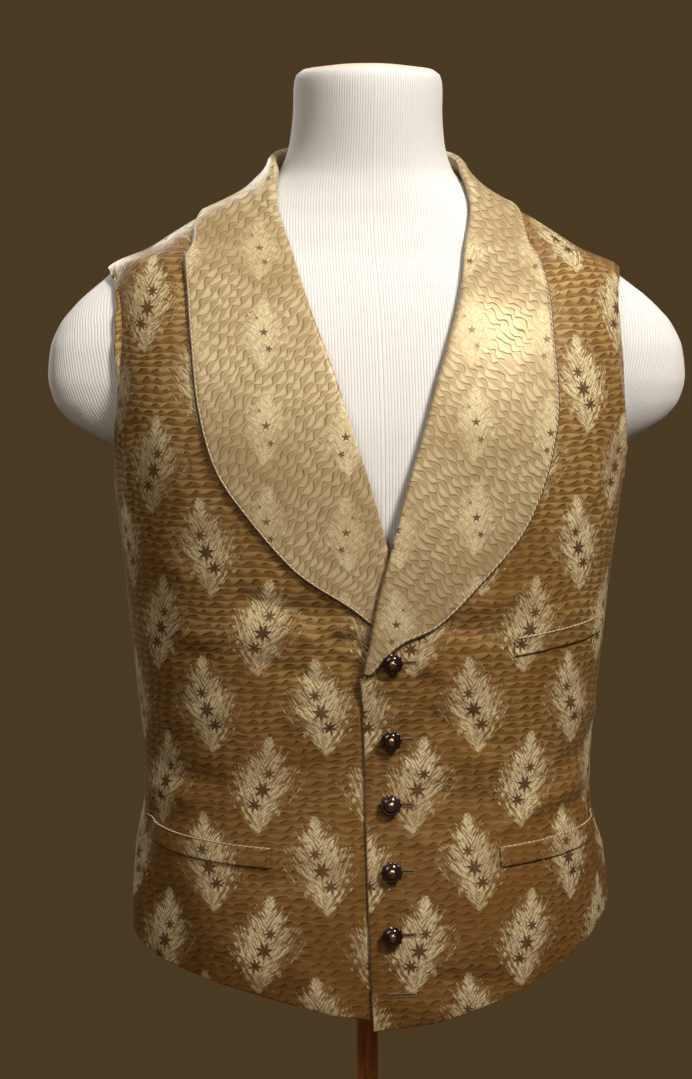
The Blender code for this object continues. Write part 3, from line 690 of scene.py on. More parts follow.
def shell(name, outer, inner, faces, uv, outside, inside):
    """A sheet with thickness from its outer and inner points, closed along its edges."""
    count = len(outer)
    directed = {(f[k], f[(k + 1) % len(f)]) for f in faces for k in range(len(f))}
    rims = [(b, a, a + count, b + count) for a, b in sorted(directed) if (b, a) not in directed]
    under = [tuple(v + count for v in f[::-1]) for f in faces]
    points = np.vstack([outer, inner])
    kinds = [0] * len(faces) + [1] * len(under) + [0] * len(rims)
    return add_mesh(name, points, faces + under + rims, [outside, inside], np.vstack([uv, uv]), kinds)


def spread(length, start_edge, end_edge, spacing=SPACING):
    """Marks from 0 to 1 over a length, closer together at edges that are rounded, and their thickness."""
    edge = EDGE_DISTANCES / length
    low = edge[-1] if start_edge else 0.0
    high = 1 - (edge[-1] if end_edge else 0.0)
    middle = np.linspace(low, high, max(2, int(length / spacing)) + 1)
    marks, shares = middle, np.ones(len(middle))
    if start_edge:
        marks = np.concatenate([edge[:-1], marks])
        shares = np.concatenate([EDGE_SHARES[:-1], shares])
    if end_edge:
        marks = np.concatenate([marks, (1 - edge[:-1])[::-1]])
        shares = np.concatenate([shares, EDGE_SHARES[:-1][::-1]])
    return marks, shares


def cloth_shell(name, side, angles, heights, shares, outside, inside, bottom=0.0, thick=CLOTH):
    """A panel over a grid of places, rows running from the side to the centre."""
    middle = bottom + thick / 2
    index = np.arange(angles.size).reshape(angles.shape)
    outer = cloth_point(side, angles, heights, middle + thick / 2 * shares).reshape(-1, 3)
    inner = cloth_point(side, angles, heights, middle - thick / 2 * shares).reshape(-1, 3)
    uv = cloth_uv(side, angles, heights).reshape(-1, 2)
    return shell(name, outer, inner, quads_of(index, side == LEFT), uv, outside, inside)


def tube(points, radius, sides=6, taper=False):
    """Points and faces of a round strand along a line of points. A tapered one closes to its ends."""
    points = np.asarray(points, dtype=float)
    ahead = np.gradient(points, axis=0)
    ahead /= np.linalg.norm(ahead, axis=1, keepdims=True)
    seed = np.array([0.0, 0.0, 1.0]) if abs(ahead[0][2]) < 0.9 else np.array([1.0, 0.0, 0.0])
    ring_points = []
    across = np.cross(seed, ahead[0])
    for k in range(len(points)):
        across = across - ahead[k] * (across @ ahead[k])
        across /= np.linalg.norm(across)
        other = np.cross(ahead[k], across)
        size = radius
        if taper and k in (0, len(points) - 1):
            size = radius * 0.35
        turn = np.arange(sides) / sides * 2 * math.pi
        spokes = np.cos(turn)[:, None] * across + np.sin(turn)[:, None] * other
        ring_points.append(points[k] + size * spokes)
    vertices = np.vstack(ring_points)
    faces = []
    for k in range(len(points) - 1):
        for s in range(sides):
            t = (s + 1) % sides
            faces.append((k * sides + s, k * sides + t, (k + 1) * sides + t, (k + 1) * sides + s))
    last = (len(points) - 1) * sides
    faces.append(tuple(range(sides))[::-1])
    faces.append(tuple(last + s for s in range(sides)))
    return vertices, faces


def joined(parts):
    """Many small meshes as one list of points and faces."""
    vertices = []
    faces = []
    base = 0
    for points, these in parts:
        vertices.append(points)
        faces += [tuple(v + base for v in f) for f in these]
        base += len(points)
    return np.vstack(vertices), faces


def tube_uv(points, sides):
    """Cloth coordinates on a strand: metres along it and turns round it."""
    around = np.arange(sides) / sides
    return np.stack([np.repeat(running_length(points), sides), np.tile(around, len(points))], axis=-1)


def turned(outline, sides, lobes=0):
    """Points and faces of a turned shape. The outline has rows of radius, height and depth of the lobes,
    and starts and ends on the axis."""
    turn = np.arange(sides) / sides * 2 * math.pi
    points = [(0, 0, outline[0][1])]
    for radius, height, depth in outline[1:-1]:
        reach = radius * (1 + depth * np.cos(lobes * turn))
        points += zip(reach * np.cos(turn), reach * np.sin(turn), [height] * sides)
    points.append((0, 0, outline[-1][1]))
    last = len(points) - 1
    top = last - sides
    faces = []
    for s in range(sides):
        t = (s + 1) % sides
        faces.append((0, 1 + t, 1 + s))
        for low in range(1, top, sides):
            high = low + sides
            faces.append((low + s, low + t, high + t, high + s))
        faces.append((last, top + s, top + t))
    return np.array(points), faces


# Node materials


class Value:
    """What a node puts out. Sums and products with it add math nodes, so that formulas read plainly."""

    def __init__(self, nodes, socket):
        self.nodes = nodes
        self.socket = socket

    def __add__(self, other):
        return self.nodes.math("ADD", self, other)

    def __radd__(self, other):
        return self.nodes.math("ADD", other, self)

    def __sub__(self, other):
        return self.nodes.math("SUBTRACT", self, other)

    def __rsub__(self, other):
        return self.nodes.math("SUBTRACT", other, self)

    def __mul__(self, other):
        return self.nodes.math("MULTIPLY", self, other)

    def __truediv__(self, other):
        return self.nodes.math("DIVIDE", self, other)

    def __abs__(self):
        return self.nodes.math("ABSOLUTE", self)


class Nodes:
    """A material's node tree, with short calls for the nodes that the finishes here are made of."""

    def __init__(self, name):
        self.material = bpy.data.materials.new(name)
        self.material.use_nodes = True
        self.tree = self.material.node_tree
        self.shader = self.tree.nodes["Principled BSDF"]

    def put(self, socket, value):
        if isinstance(value, Value):
            self.tree.links.new(value.socket, socket)
        elif value is not None:
            is_colour = socket.type == "RGBA" and len(value) == 3
            socket.default_value = (*value, 1.0) if is_colour else value

    def node(self, kind, inputs, output=0, **settings):
        """A new node's output. Its inputs are given by number or name."""
        node = self.tree.nodes.new("ShaderNode" + kind)
        for name, setting in settings.items():
            setattr(node, name, setting)
        for key, value in inputs.items():
            self.put(node.inputs[key], value)
        return Value(self, node.outputs[output])

    def math(self, operation, a, b=None):
        return self.node("Math", {0: a, 1: b}, operation=operation)

    def sine(self, value):
        return self.math("SINE", value)

    def fraction(self, value):
        return self.math("FRACT", value)

    def power(self, value, exponent):
        return self.math("POWER", value, exponent)

    def lesser(self, a, b):
        return self.math("MINIMUM", a, b)

    def greater(self, a, b):
        return self.math("MAXIMUM", a, b)

    def ramp(self, value, start, end, low=0.0, high=1.0):
        """A smooth step between two values."""
        limits = {"Value": value, "From Min": start, "From Max": end, "To Min": low, "To Max": high}
        return self.node("MapRange", limits, interpolation_type="SMOOTHSTEP")

    def mix(self, factor, a, b):
        """A number between a and b."""
        return self.node("Mix", {0: factor, 2: a, 3: b}, data_type="FLOAT")

    def blend(self, factor, a, b):
        """A colour between a and b."""
        return self.node("Mix", {0: factor, 6: a, 7: b}, 2, data_type="RGBA")

    def vector(self, x, y, z=0.0):
        return self.node("CombineXYZ", {0: x, 1: y, 2: z})

    def noise(self, vector, scale, detail=2.0, rough=0.5):
        return self.node("TexNoise", {"Vector": vector, "Scale": scale, "Detail": detail, "Roughness": rough})

    def chance(self, number):
        """A fixed random number from 0 to 1 for each whole number."""
        return self.node("TexWhiteNoise", {"W": number}, noise_dimensions="1D")

    def uv(self):
        """The two cloth coordinates, in metres."""
        split = self.node("SeparateXYZ", {0: self.node("UVMap", {}, uv_map="cloth")})
        return split, Value(self, split.socket.node.outputs[1])

    def place(self):
        """The place in the object, in metres."""
        return self.node("TexCoord", {}, "Object")

    def bump(self, height, depth, strength=1.0):
        settings = {"Strength": strength, "Distance": depth, "Height": height}
        self.put(self.shader.inputs["Normal"], self.node("Bump", settings))

    def finish(self, colour, roughness, **fixed):
        self.put(self.shader.inputs["Base Color"], colour)
        self.put(self.shader.inputs["Roughness"], roughness)
        for name, value in fixed.items():
            self.put(self.shader.inputs[name.replace("_", " ")], value)
        return self.material


# Sizes in the figure, in metres, and the grain of its noises, in waves to the metre
BARB_SPACING = 0.008
BARB_LEAN = math.radians(52)
THINNEST = 0.0004
STAR_EDGE = 0.00025
BREAK_GRAIN = 210.0
RAGGED_GRAIN = 240.0
STROKE_GRAIN = 700.0
FINE_GRAIN = 1150.0
WEAVE_GRAIN = 900.0
FULL_TURN = 2 * math.pi


def nearest_sprig(n, u, v, sprigs):
    """A place's distances from the middle of its sprig, from two lattices that make the half-drop repeat."""
    pair = 2 * sprigs["column"]
    repeat = sprigs["repeat"]
    columns = (u - sprigs["u"]) / pair
    rows = (v - sprigs["v"]) / repeat
    even_x = (n.fraction(columns + 0.5) - 0.5) * pair
    even_y = (n.fraction(rows + 0.5) - 0.5) * repeat
    odd_x = (n.fraction(columns) - 0.5) * pair
    odd_y = (n.fraction(rows + sprigs["drop"] + 0.5) - 0.5) * repeat

    def away(x, y):
        return n.power(abs(x / sprigs["column"]), 2.0) + n.power(abs(y / (repeat * 0.5)), 2.0)

    odd = n.math("LESS_THAN", away(odd_x, odd_y), away(even_x, even_y))
    return n.mix(odd, even_x, odd_x * -1.0), n.mix(odd, even_y, odd_y)


def star_flowers(n, x, y, sprigs):
    """Where a sprig's star flowers are, each with its place, size, number of petals and turn."""
    stars = 0.0
    for star_x, star_y, size, petals, first in sprigs["stars"]:
        dx = x - star_x * MM
        dy = y - star_y * MM
        radius = n.math("SQRT", dx * dx + dy * dy)
        bearing = n.math("ARCTAN2", dy, dx) / (FULL_TURN / petals) + first
        petal = abs(n.fraction(bearing) - 0.5) * (FULL_TURN / petals)
        reach = n.lesser(radius / (size * MM), 1.0)
        leaf = n.sine(n.power(reach, 0.8) * math.pi) * (size * MM * sprigs["petal"])
        inked = n.ramp(n.sine(petal) * radius - leaf, STAR_EDGE, -STAR_EDGE)
        heart = n.ramp(radius, size * MM * 0.26, size * MM * 0.12)
        stars = n.greater(stars, n.greater(inked, heart))
    return stars


def figured_silk(name, waves, sprigs, colours):
    """Silk with shaded wavy ribbons, pale feathery sprigs on a half-drop repeat, and dark star flowers.

    waves: angle of the ribbons, spacing, wave length, swing. sprigs: across and up to a first sprig, column
    spacing, repeat, drop of the odd columns, half width, half height, star sizes and places.
    """
    n = Nodes(name)
    u, v = n.uv()

    # Ribbons
    turn = math.radians(waves["angle"])
    along = u * math.cos(turn) + v * math.sin(turn)
    across = v * math.cos(turn) - u * math.sin(turn)
    drift = n.noise(n.vector(along, across), waves["drift_scale"], 1.0)
    across = across + (drift - 0.5) * waves["drift"]
    rows = across / waves["spacing"]
    row = n.math("FLOOR", rows)
    wave = along / waves["length"] + n.chance(row) * waves["shift"]
    bend = n.noise(n.vector(along, across), waves["bend_scale"], 1.0)
    wave = (wave + (bend - 0.5) * 1.3) * FULL_TURN
    ribbon = rows - row - 0.5 - n.sine(wave) * (waves["swing"] / waves["spacing"])
    breaks = n.noise(n.vector(along * 0.5, across, 7.0), BREAK_GRAIN, 1.0)
    thick = n.sine(wave + 1.1) * waves["line_swell"] + waves["line"]
    thick = thick * n.ramp(breaks, 0.3, 0.48, 0.25, 1.0)
    line = n.ramp(abs(ribbon), thick + 0.07, thick - 0.07)

    # Feathered outline: a pointed oval whose edge is broken into barbs
    x, y = nearest_sprig(n, u, v, sprigs)
    lean = x - y * sprigs["lean"]
    out = abs(lean)
    barb_across = y * math.cos(BARB_LEAN) - out * math.sin(BARB_LEAN)
    barb_along = out * math.cos(BARB_LEAN) + y * math.sin(BARB_LEAN)
    rise = n.power(abs(y / sprigs["half_height"]), 1.3)
    width = (1.0 - n.lesser(rise, 1.0)) * sprigs["half_width"]
    lobes = n.sine(barb_across * (FULL_TURN / BARB_SPACING))
    ragged = n.noise(n.vector(lean, y, 3.0), RAGGED_GRAIN, 3.0)
    width = width * (1.0 + lobes * 0.1 + (ragged - 0.5) * 1.7)
    inside = 1.0 - out / n.greater(width, THINNEST)
    within_ends = n.ramp(rise, 1.0, 0.86)
    body = n.ramp(inside, -0.05, 0.75) * within_ends
    side_of_stem = n.math("SIGN", lean)
    strokes = n.vector(barb_across, barb_along * 0.13, side_of_stem)
    strokes = n.noise(strokes, STROKE_GRAIN / sprigs["grain"], 1.0)
    fine = n.noise(n.vector(x, y * 0.35, 5.0), FINE_GRAIN / sprigs["grain"], 1.0)
    bar = n.mix(body, 0.61, 0.43)
    stroke = n.ramp(strokes * 0.72 + fine * 0.28, bar - 0.03, bar + 0.12)
    sprig = stroke * n.ramp(inside, -0.2, 0.12) * within_ends
    stars = star_flowers(n, x, y, sprigs)

    # Colours
    weave = n.noise(n.vector(u * 0.5, v * 2.0, 2.0), WEAVE_GRAIN, 1.0)
    # Large darker mottling, partly a tint of age and partly painted sheen: patches standing in for the silk's
    # sheen changing with the light
    age_and_sheen_mottle = n.noise(n.vector(u, v, 11.0), 14.0, 3.0)
    ground = n.blend(n.ramp(ribbon, -0.5, 0.5), colours["ribbon_dark"], colours["ribbon_light"])
    ground = n.blend(n.ramp(age_and_sheen_mottle, 0.35, 0.7), ground, n.blend(0.5, ground, colours["worn"]))
    # Painted shade: the silk darkens towards the hem, standing in for the light falling off below the chest
    painted_low_shade = n.ramp(v, 300 * MM, 740 * MM, 0.8, 0.0)
    ground = n.blend(painted_low_shade, ground, colours["worn"])
    silk = n.blend(line * waves["ink"], ground, colours["line"])
    field = n.blend(n.ramp(body, 0.0, 0.8, 0.0, 0.75), silk, colours["under"])
    cream = n.blend(n.ramp(weave, 0.3, 0.7), colours["cream_dark"], colours["cream"])
    silk = n.blend(sprig, field, cream)
    silk = n.blend(stars * 0.93, silk, colours["star"])
    silk = n.blend(n.ramp(weave, 0.25, 0.75, 0.0, 0.22), silk, colours["line"])
    # Painted sheen: cloudy darker patches standing in for the silk's sheen changing with the light
    cloudy = n.noise(n.vector(u, v * 1.6, 23.0), 16.0, 2.0)
    silk = n.blend(n.ramp(cloudy, 0.42, 0.68, 0.0, 0.34), silk, colours["worn"])

    glossy = n.mix(sprig, n.mix(line, colours["gloss_ground"], 0.6), colours["gloss_figure"])
    relief = (1.0 - line) * 0.55 + ribbon * ribbon * -0.6
    relief = n.mix(body, relief, 0.25 + stroke * 0.45)
    n.bump(relief + weave * 0.18 - stars * 0.3, 0.2 * MM, 0.3)
    golden = (1.0, 0.82, 0.52)
    return n.finish(silk, glossy, Sheen_Weight=0.02, Specular_IOR_Level=0.5, Specular_Tint=golden)


def plain_weave(name, light, dark, thread, gloss):
    """Plain woven cloth with fine crossing threads and slight streaks."""
    n = Nodes(name)
    u, v = n.uv()
    crossing = (n.sine(u * (FULL_TURN / thread)) * n.sine(v * (FULL_TURN / thread)) + 1.0) * 0.5
    streaks = n.noise(n.vector(u, v * 0.06), 420.0, 2.0)
    cloudy = n.noise(n.vector(u, v, 4.0), 16.0, 3.0)
    tone = crossing * 0.3 + streaks * 0.45 + cloudy * 0.4
    n.bump(crossing * 0.6 + streaks * 0.5, 0.2 * MM, 0.5)
    rough = n.ramp(streaks, 0.3, 0.7, gloss, gloss + 0.12)
    return n.finish(n.blend(tone, dark, light), rough, Sheen_Weight=0.1)


def ribbed_knit(name, rib_width=2.1 * MM, loop_height=1.3 * MM):
    """Fine white jersey with upright ribs."""
    n = Nodes(name)
    u, v = n.uv()
    rib = abs(n.sine(u * (math.pi / rib_width)))
    loops = n.sine(v * (FULL_TURN / loop_height))
    soft = n.noise(n.vector(u, v, 1.0), 30.0, 3.0)
    n.bump(n.power(rib, 0.6) + loops * rib * 0.12, 0.4 * MM, 0.6)
    # Painted shade: the knit is darker in the grooves between the ribs, where the bump sinks
    colour = n.blend(n.ramp(rib, 0.0, 0.5), (0.44, 0.40, 0.375), (0.66, 0.645, 0.625))
    colour = n.blend(n.ramp(soft, 0.35, 0.75, 0.0, 0.25), colour, (0.60, 0.565, 0.53))
    return n.finish(colour, 0.85, Sheen_Weight=0.2, Specular_IOR_Level=0.3)


def cord_silk(name, light, dark, twist):
    """Twisted cord: slanting strands along a strand's own coordinates."""
    n = Nodes(name)
    u, v = n.uv()
    strand = n.sine((u / twist + v * 2.0) * FULL_TURN)
    n.bump(strand, 0.2 * MM, 0.7)
    return n.finish(n.blend(n.ramp(strand, -0.6, 0.6), dark, light), 0.45, Sheen_Weight=0.1)


def thread(name, colour, gloss=0.5):
    n = Nodes(name)
    lighter = tuple(min(1.0, c * 1.5) for c in colour)
    return n.finish(n.blend(n.noise(n.place(), 900.0, 2.0), colour, lighter), gloss, Sheen_Weight=0.1)


def varnished_wood(name, stretch):
    """Orange-brown turned wood with long dark grain under varnish."""
    n = Nodes(name)
    place = n.node("Mapping", {"Vector": n.place(), "Scale": stretch})
    grain = n.noise(place, 260.0, 4.0, 0.6)
    broad = n.noise(place, 40.0, 2.0)
    colour = n.blend(n.ramp(grain, 0.35, 0.7), (0.24, 0.075, 0.016), (0.52, 0.20, 0.055))
    colour = n.blend(n.ramp(broad, 0.4, 0.65, 0.0, 0.4), colour, (0.30, 0.095, 0.02))
    n.bump(grain, 0.2 * MM, 0.25)
    rough = n.ramp(grain, 0.3, 0.7, 0.22, 0.34)
    return n.finish(colour, rough, Coat_Weight=0.6, Coat_Roughness=0.12)


def dark_metal(name, colour, gloss, metallic):
    n = Nodes(name)
    worn = n.noise(n.place(), 500.0, 3.0)
    fine = n.noise(n.place(), 2600.0, 2.0)
    lighter = tuple(min(1.0, c * 2.2 + 0.01) for c in colour)
    tone = n.blend(n.ramp(worn, 0.45, 0.75, 0.0, 0.7), colour, lighter)
    rough = n.ramp(fine, 0.3, 0.7, gloss, gloss + 0.12)
    n.bump(fine, 0.1 * MM, 0.2)
    return n.finish(tone, rough, Metallic=metallic, Coat_Weight=0.5, Coat_Roughness=0.08)


def plain_painted(name, colour, rough):
    n = Nodes(name)
    darker = tuple(c * 0.88 for c in colour)
    n.bump(n.noise(n.place(), 700.0, 2.0), 0.1 * MM, 0.2)
    return n.finish(n.blend(n.noise(n.place(), 60.0, 3.0), darker, colour), rough)


SILK_COLOURS = {
    "ribbon_light": (0.42, 0.275, 0.105),
    "ribbon_dark": (0.165, 0.083, 0.019),
    # A darker brown: a tint of age, and also the colour of the painted shade towards the hem and the painted
    # sheen patches
    "worn": (0.150, 0.063, 0.012),
    "line": (0.052, 0.020, 0.004),
    "under": (0.20, 0.112, 0.035),
    "cream": (0.86, 0.75, 0.49),
    "cream_dark": (0.50, 0.385, 0.19),
    "star": (0.060, 0.022, 0.007),
    "gloss_ground": 0.36,
    "gloss_figure": 0.44,
}
# Painted sheen: the collar's colours are a lighter copy of the front's, standing in for its satin lit more
# where it faces the light
COLLAR_COLOURS = {
    **SILK_COLOURS,
    "ribbon_light": (0.58, 0.465, 0.28),
    "ribbon_dark": (0.37, 0.275, 0.14),
    # The same darker brown for the collar: a tint of age, painted shade and painted sheen
    "worn": (0.27, 0.175, 0.075),
    "line": (0.105, 0.060, 0.019),
    "under": (0.40, 0.30, 0.165),
}
FRONT_WAVES = {
    "angle": 0,
    "spacing": 0.0054,
    "length": 0.0112,
    "swing": 0.0011,
    "shift": 0.55,
    "drift": 0.009,
    "drift_scale": 38.0,
    "bend_scale": 70.0,
    "line": 0.085,
    "line_swell": 0.075,
    "ink": 0.85,
}
COLLAR_WAVES = {
    **FRONT_WAVES,
    "spacing": 0.0050,
    "length": 0.0115,
    "swing": 0.0015,
    "line": 0.085,
    "line_swell": 0.04,
    "ink": 0.75,
}
FRONT_SPRIGS = {
    "u": -4 * MM,
    "v": 570 * MM,
    "column": 40 * MM,
    "repeat": 110 * MM,
    "drop": 0.5,
    "half_width": 29 * MM,
    "half_height": 36 * MM,
    "lean": 0.12,
    "grain": 0.46,
    "petal": 0.16,
    "stars": [(4.5, 7.5, 4.6, 7, 0.1), (0.0, -4.0, 6.7, 7, 0.3), (-6.0, -14.5, 5.6, 7, 0.6)],
}
COLLAR_SPRIGS = {
    **FRONT_SPRIGS,
    "column": 54 * MM,
    "repeat": 64 * MM,
    "drop": 0.12,
    "half_width": 20 * MM,
    "half_height": 27 * MM,
    "lean": 0.05,
    "grain": 0.44,
    "petal": 0.24,
    "stars": [(-4.0, 11.0, 1.6, 4, 0.1), (0.5, 1.0, 3.1, 5, 0.3), (3.5, -10.5, 2.7, 5, 0.6)],
}

silk = {
    RIGHT: figured_silk("silk_right", FRONT_WAVES, {**FRONT_SPRIGS, "u": -4 * MM}, SILK_COLOURS),
    LEFT: figured_silk("silk_left", FRONT_WAVES, {**FRONT_SPRIGS, "u": 20 * MM}, SILK_COLOURS),
}
collar_silk = {
    RIGHT: figured_silk(
        "silk_collar_right",
        {**COLLAR_WAVES, "angle": 50},
        {**COLLAR_SPRIGS, "u": -82 * MM, "v": 706 * MM},
        COLLAR_COLOURS,
    ),
    LEFT: figured_silk(
        "silk_collar_left",
        {**COLLAR_WAVES, "angle": -45},
        {**COLLAR_SPRIGS, "u": 58 * MM, "v": 708 * MM},
        COLLAR_COLOURS,
    ),
}
silk_reverse = plain_weave("silk_reverse", (0.36, 0.25, 0.13), (0.22, 0.14, 0.07), 0.0011, 0.6)
cotton = plain_weave("glazed_cotton", (0.42, 0.29, 0.165), (0.27, 0.175, 0.09), 0.0012, 0.46)
cotton_inside = plain_weave("cotton_inside", (0.55, 0.45, 0.32), (0.40, 0.31, 0.20), 0.0012, 0.7)
knit = ribbed_knit("white_knit")
neck_cap = plain_painted("neck_cap", (0.78, 0.56, 0.45), 0.5)
wood = varnished_wood("varnished_wood", (1.0, 1.0, 0.05))
board_wood = varnished_wood("varnished_board", (0.05, 1.0, 0.4))
button_dark = dark_metal("button_dark", (0.050, 0.026, 0.020), 0.10, 0.8)
button_bright = dark_metal("button_bright", (0.42, 0.24, 0.13), 0.15, 0.95)
piping_light = cord_silk("piping_light", (0.62, 0.48, 0.28), (0.22, 0.13, 0.06), 0.004)
# Painted shadow: a dark cord standing in for the shade line along the collar's rim
painted_shadow_cord = cord_silk("painted_shadow_cord", (0.16, 0.085, 0.04), (0.05, 0.024, 0.012), 0.004)
stitch_thread = thread("stitch_thread", (0.26, 0.15, 0.07))
seam_and_shadow_thread = thread("seam_and_shadow_thread", (0.12, 0.065, 0.03))
hole_thread = thread("buttonhole_thread", (0.20, 0.11, 0.045))
slit_dark = thread("slit_shadow", (0.02, 0.01, 0.006), 0.9)


# The waistcoat's panels


def arc_marks(side, angles, heights):
    """Marks from 0 to 1 along a line of places, by its length on the body."""
    length = running_length(body_point(side, angles, heights))
    return length / length[-1]


def lower_row(side, columns, towards, seam_z, edge, edge_hem, part):
    """A row of places from the side seam to a panel's other edge. At the hem, where part is 0, it bows as
    the hem does; towards is 1 for a front and -1 for the back."""
    hem = HEM[side]
    side_hem = line_height(hem, SIDE_SEAM)
    start = seam_angle(seam_z, SIDE_SEAM, towards)
    row = start + (edge[0] - start) * columns
    bow = line_height(hem, row) - side_hem - (edge_hem - side_hem) * columns
    return row, seam_z + (edge[1] - seam_z) * columns + bow * (1 - part) ** 2


def upper_row(start, end, columns, towards):
    """A row of places from the armhole to the neck or the centre, on its own side of the shoulder seam."""
    row = start[0] + (end[0] - start[0]) * columns
    heights = start[1] + (end[1] - start[1]) * columns
    seam = seam_angle(heights, SHOULDER_SEAM, towards)
    return (np.maximum if towards > 0 else np.minimum)(row, seam), heights


def as_grid(rows, row_shares, column_shares):
    """The angles, heights and shares of thickness of a panel's rows."""
    angles, heights = np.array(rows).transpose(1, 0, 2)
    return angles, heights, np.minimum(row_shares[:, None], column_shares[None, :])


def front_grid(side):
    """Places of one front, in rows from the side to the front edge and neckline."""
    neck = NECKLINES[side]
    armhole = line_places(ARMHOLE_FRONT[side])
    underarm_z = armhole[0, 1]
    side_hem, edge_hem = line_height(HEM[side], SIDE_SEAM), line_height(HEM[side], FRONT_EDGE)
    at_underarm = np.interp(UNDERARM_FRONT_Z, neck["places"][:, 1], neck["length"])
    columns, column_shares = spread(FRONT_ROW, True, True)

    marks, row_shares = spread(BREAK_Z - edge_hem, True, False)
    below = edge_hem + (BREAK_Z - edge_hem) * marks[:-1]
    climb = np.linspace(0, at_underarm, int(at_underarm / SPACING))[:-1]
    neck_angle, neck_z = neck_place(side, climb)
    edge_angle = np.append(front_angle(-at_height(LAP[side], "past", below), below), neck_angle)
    edge_z = np.append(below, neck_z)
    rows = []
    for edge in zip(edge_angle, edge_z):
        part = (edge[1] - edge_hem) / (UNDERARM_FRONT_Z - edge_hem)
        seam_z = side_hem + (underarm_z - side_hem) * part
        rows.append(lower_row(side, columns, 1, seam_z, edge, edge_hem, part))

    arm_marks = arc_marks(side, *armhole.T)
    above_underarm = neck["shoulder"] - at_underarm
    upper, upper_shares = spread(above_underarm, False, True)
    for t in upper:
        end = neck_place(side, at_underarm + above_underarm * t)
        rows.append(upper_row(place_at(armhole, arm_marks, t), end, columns, 1))
    row_shares = np.concatenate([row_shares[:-1], np.ones(len(climb)), upper_shares])
    return as_grid(rows, row_shares, column_shares)


def back_grid(side):
    """Places of one half of the back, in rows from the side to the centre back or the neckline, and the
    number of rows that end on the centre."""
    neck = NECKLINES[side]
    underarm_z = line_places(ARMHOLE_FRONT[side])[0, 1]
    side_hem, centre_hem = line_height(HEM[side], SIDE_SEAM), HEM[side]["z"][0] * MM
    columns, column_shares = spread(BACK_ROW, True, False)
    marks, row_shares = spread(UNDERARM_FRONT_Z - centre_hem, True, False)
    rows = []
    for part in marks[:-1]:
        seam_z = side_hem + (underarm_z - side_hem) * part
        centre = (CENTRE_BACK, centre_hem + (UNDERARM_FRONT_Z - centre_hem) * part)
        rows.append(lower_row(side, columns, -1, seam_z, centre, centre_hem, part))

    armhole = np.vstack([[SIDE_SEAM, underarm_z], line_places(ARMHOLE_BACK)])
    arm_marks = arc_marks(side, *armhole.T)
    full = neck["length"][-1]
    rise = neck["places"][-1, 1] - UNDERARM_FRONT_Z
    collar = full - neck["shoulder"]
    upper, upper_shares = spread(rise + collar, False, True)
    nape_at = rise / (rise + collar)
    away = np.abs(upper - nape_at)
    nape_row = int(np.argmin(away))
    upper = upper + (nape_at - upper[nape_row]) * (1 - away / max(nape_at, 1 - nape_at))
    upper[0], upper[-1] = 0, 1
    for k, t in enumerate(upper):
        if k <= nape_row:
            end = (CENTRE_BACK, UNDERARM_FRONT_Z + rise * t / upper[nape_row])
        else:
            end = neck_place(side, full - collar * (t - upper[nape_row]) / (1 - upper[nape_row]))
        rows.append(upper_row(place_at(armhole, arm_marks, t), end, columns, -1))
    row_shares = np.concatenate([row_shares[:-1], upper_shares])
    return *as_grid(rows, row_shares, column_shares), len(marks) - 1 + nape_row


def front_panel(side, name):
    angles, heights, shares = front_grid(side)
    made = cloth_shell(name, side, angles, heights, shares, silk[side], silk_reverse)
    return made, (angles, heights)


def back_panel(name):
    """The back, its halves joined on the centre line up to the nape."""
    outer, inner, flat, faces = [], [], [], []
    grids = {}
    base = 0
    half = CLOTH / 2
    for side in (LEFT, RIGHT):
        angles, heights, shares, nape_row = back_grid(side)
        grids[side] = (angles, heights)
        index = base + np.arange(angles.size).reshape(angles.shape)
        base += angles.size
        outer.append(cloth_point(side, angles, heights, half + half * shares).reshape(-1, 3))
        inner.append(cloth_point(side, angles, heights, half - half * shares).reshape(-1, 3))
        uv = cloth_uv(side, angles, heights)
        uv[..., 0] -= cloth_uv(side, np.full(heights.shape, CENTRE_BACK), heights)[..., 0]
        flat.append(uv.reshape(-1, 2))
        if side == LEFT:
            centre = index[: nape_row + 1, -1].copy()
        else:
            index[: nape_row + 1, -1] = centre
        faces += quads_of(index, side == RIGHT)
    outer, inner, flat = np.vstack(outer), np.vstack(inner), np.vstack(flat)
    outer[centre, 0] = 0
    inner[centre, 0] = 0
    used = np.unique(np.concatenate([np.array(f) for f in faces]))
    number = np.full(len(outer), -1)
    number[used] = np.arange(len(used))
    faces = [tuple(int(number[v]) for v in f) for f in faces]
    made = shell(name, outer[used], inner[used], faces, flat[used], cotton, cotton_inside)
    return made, grids


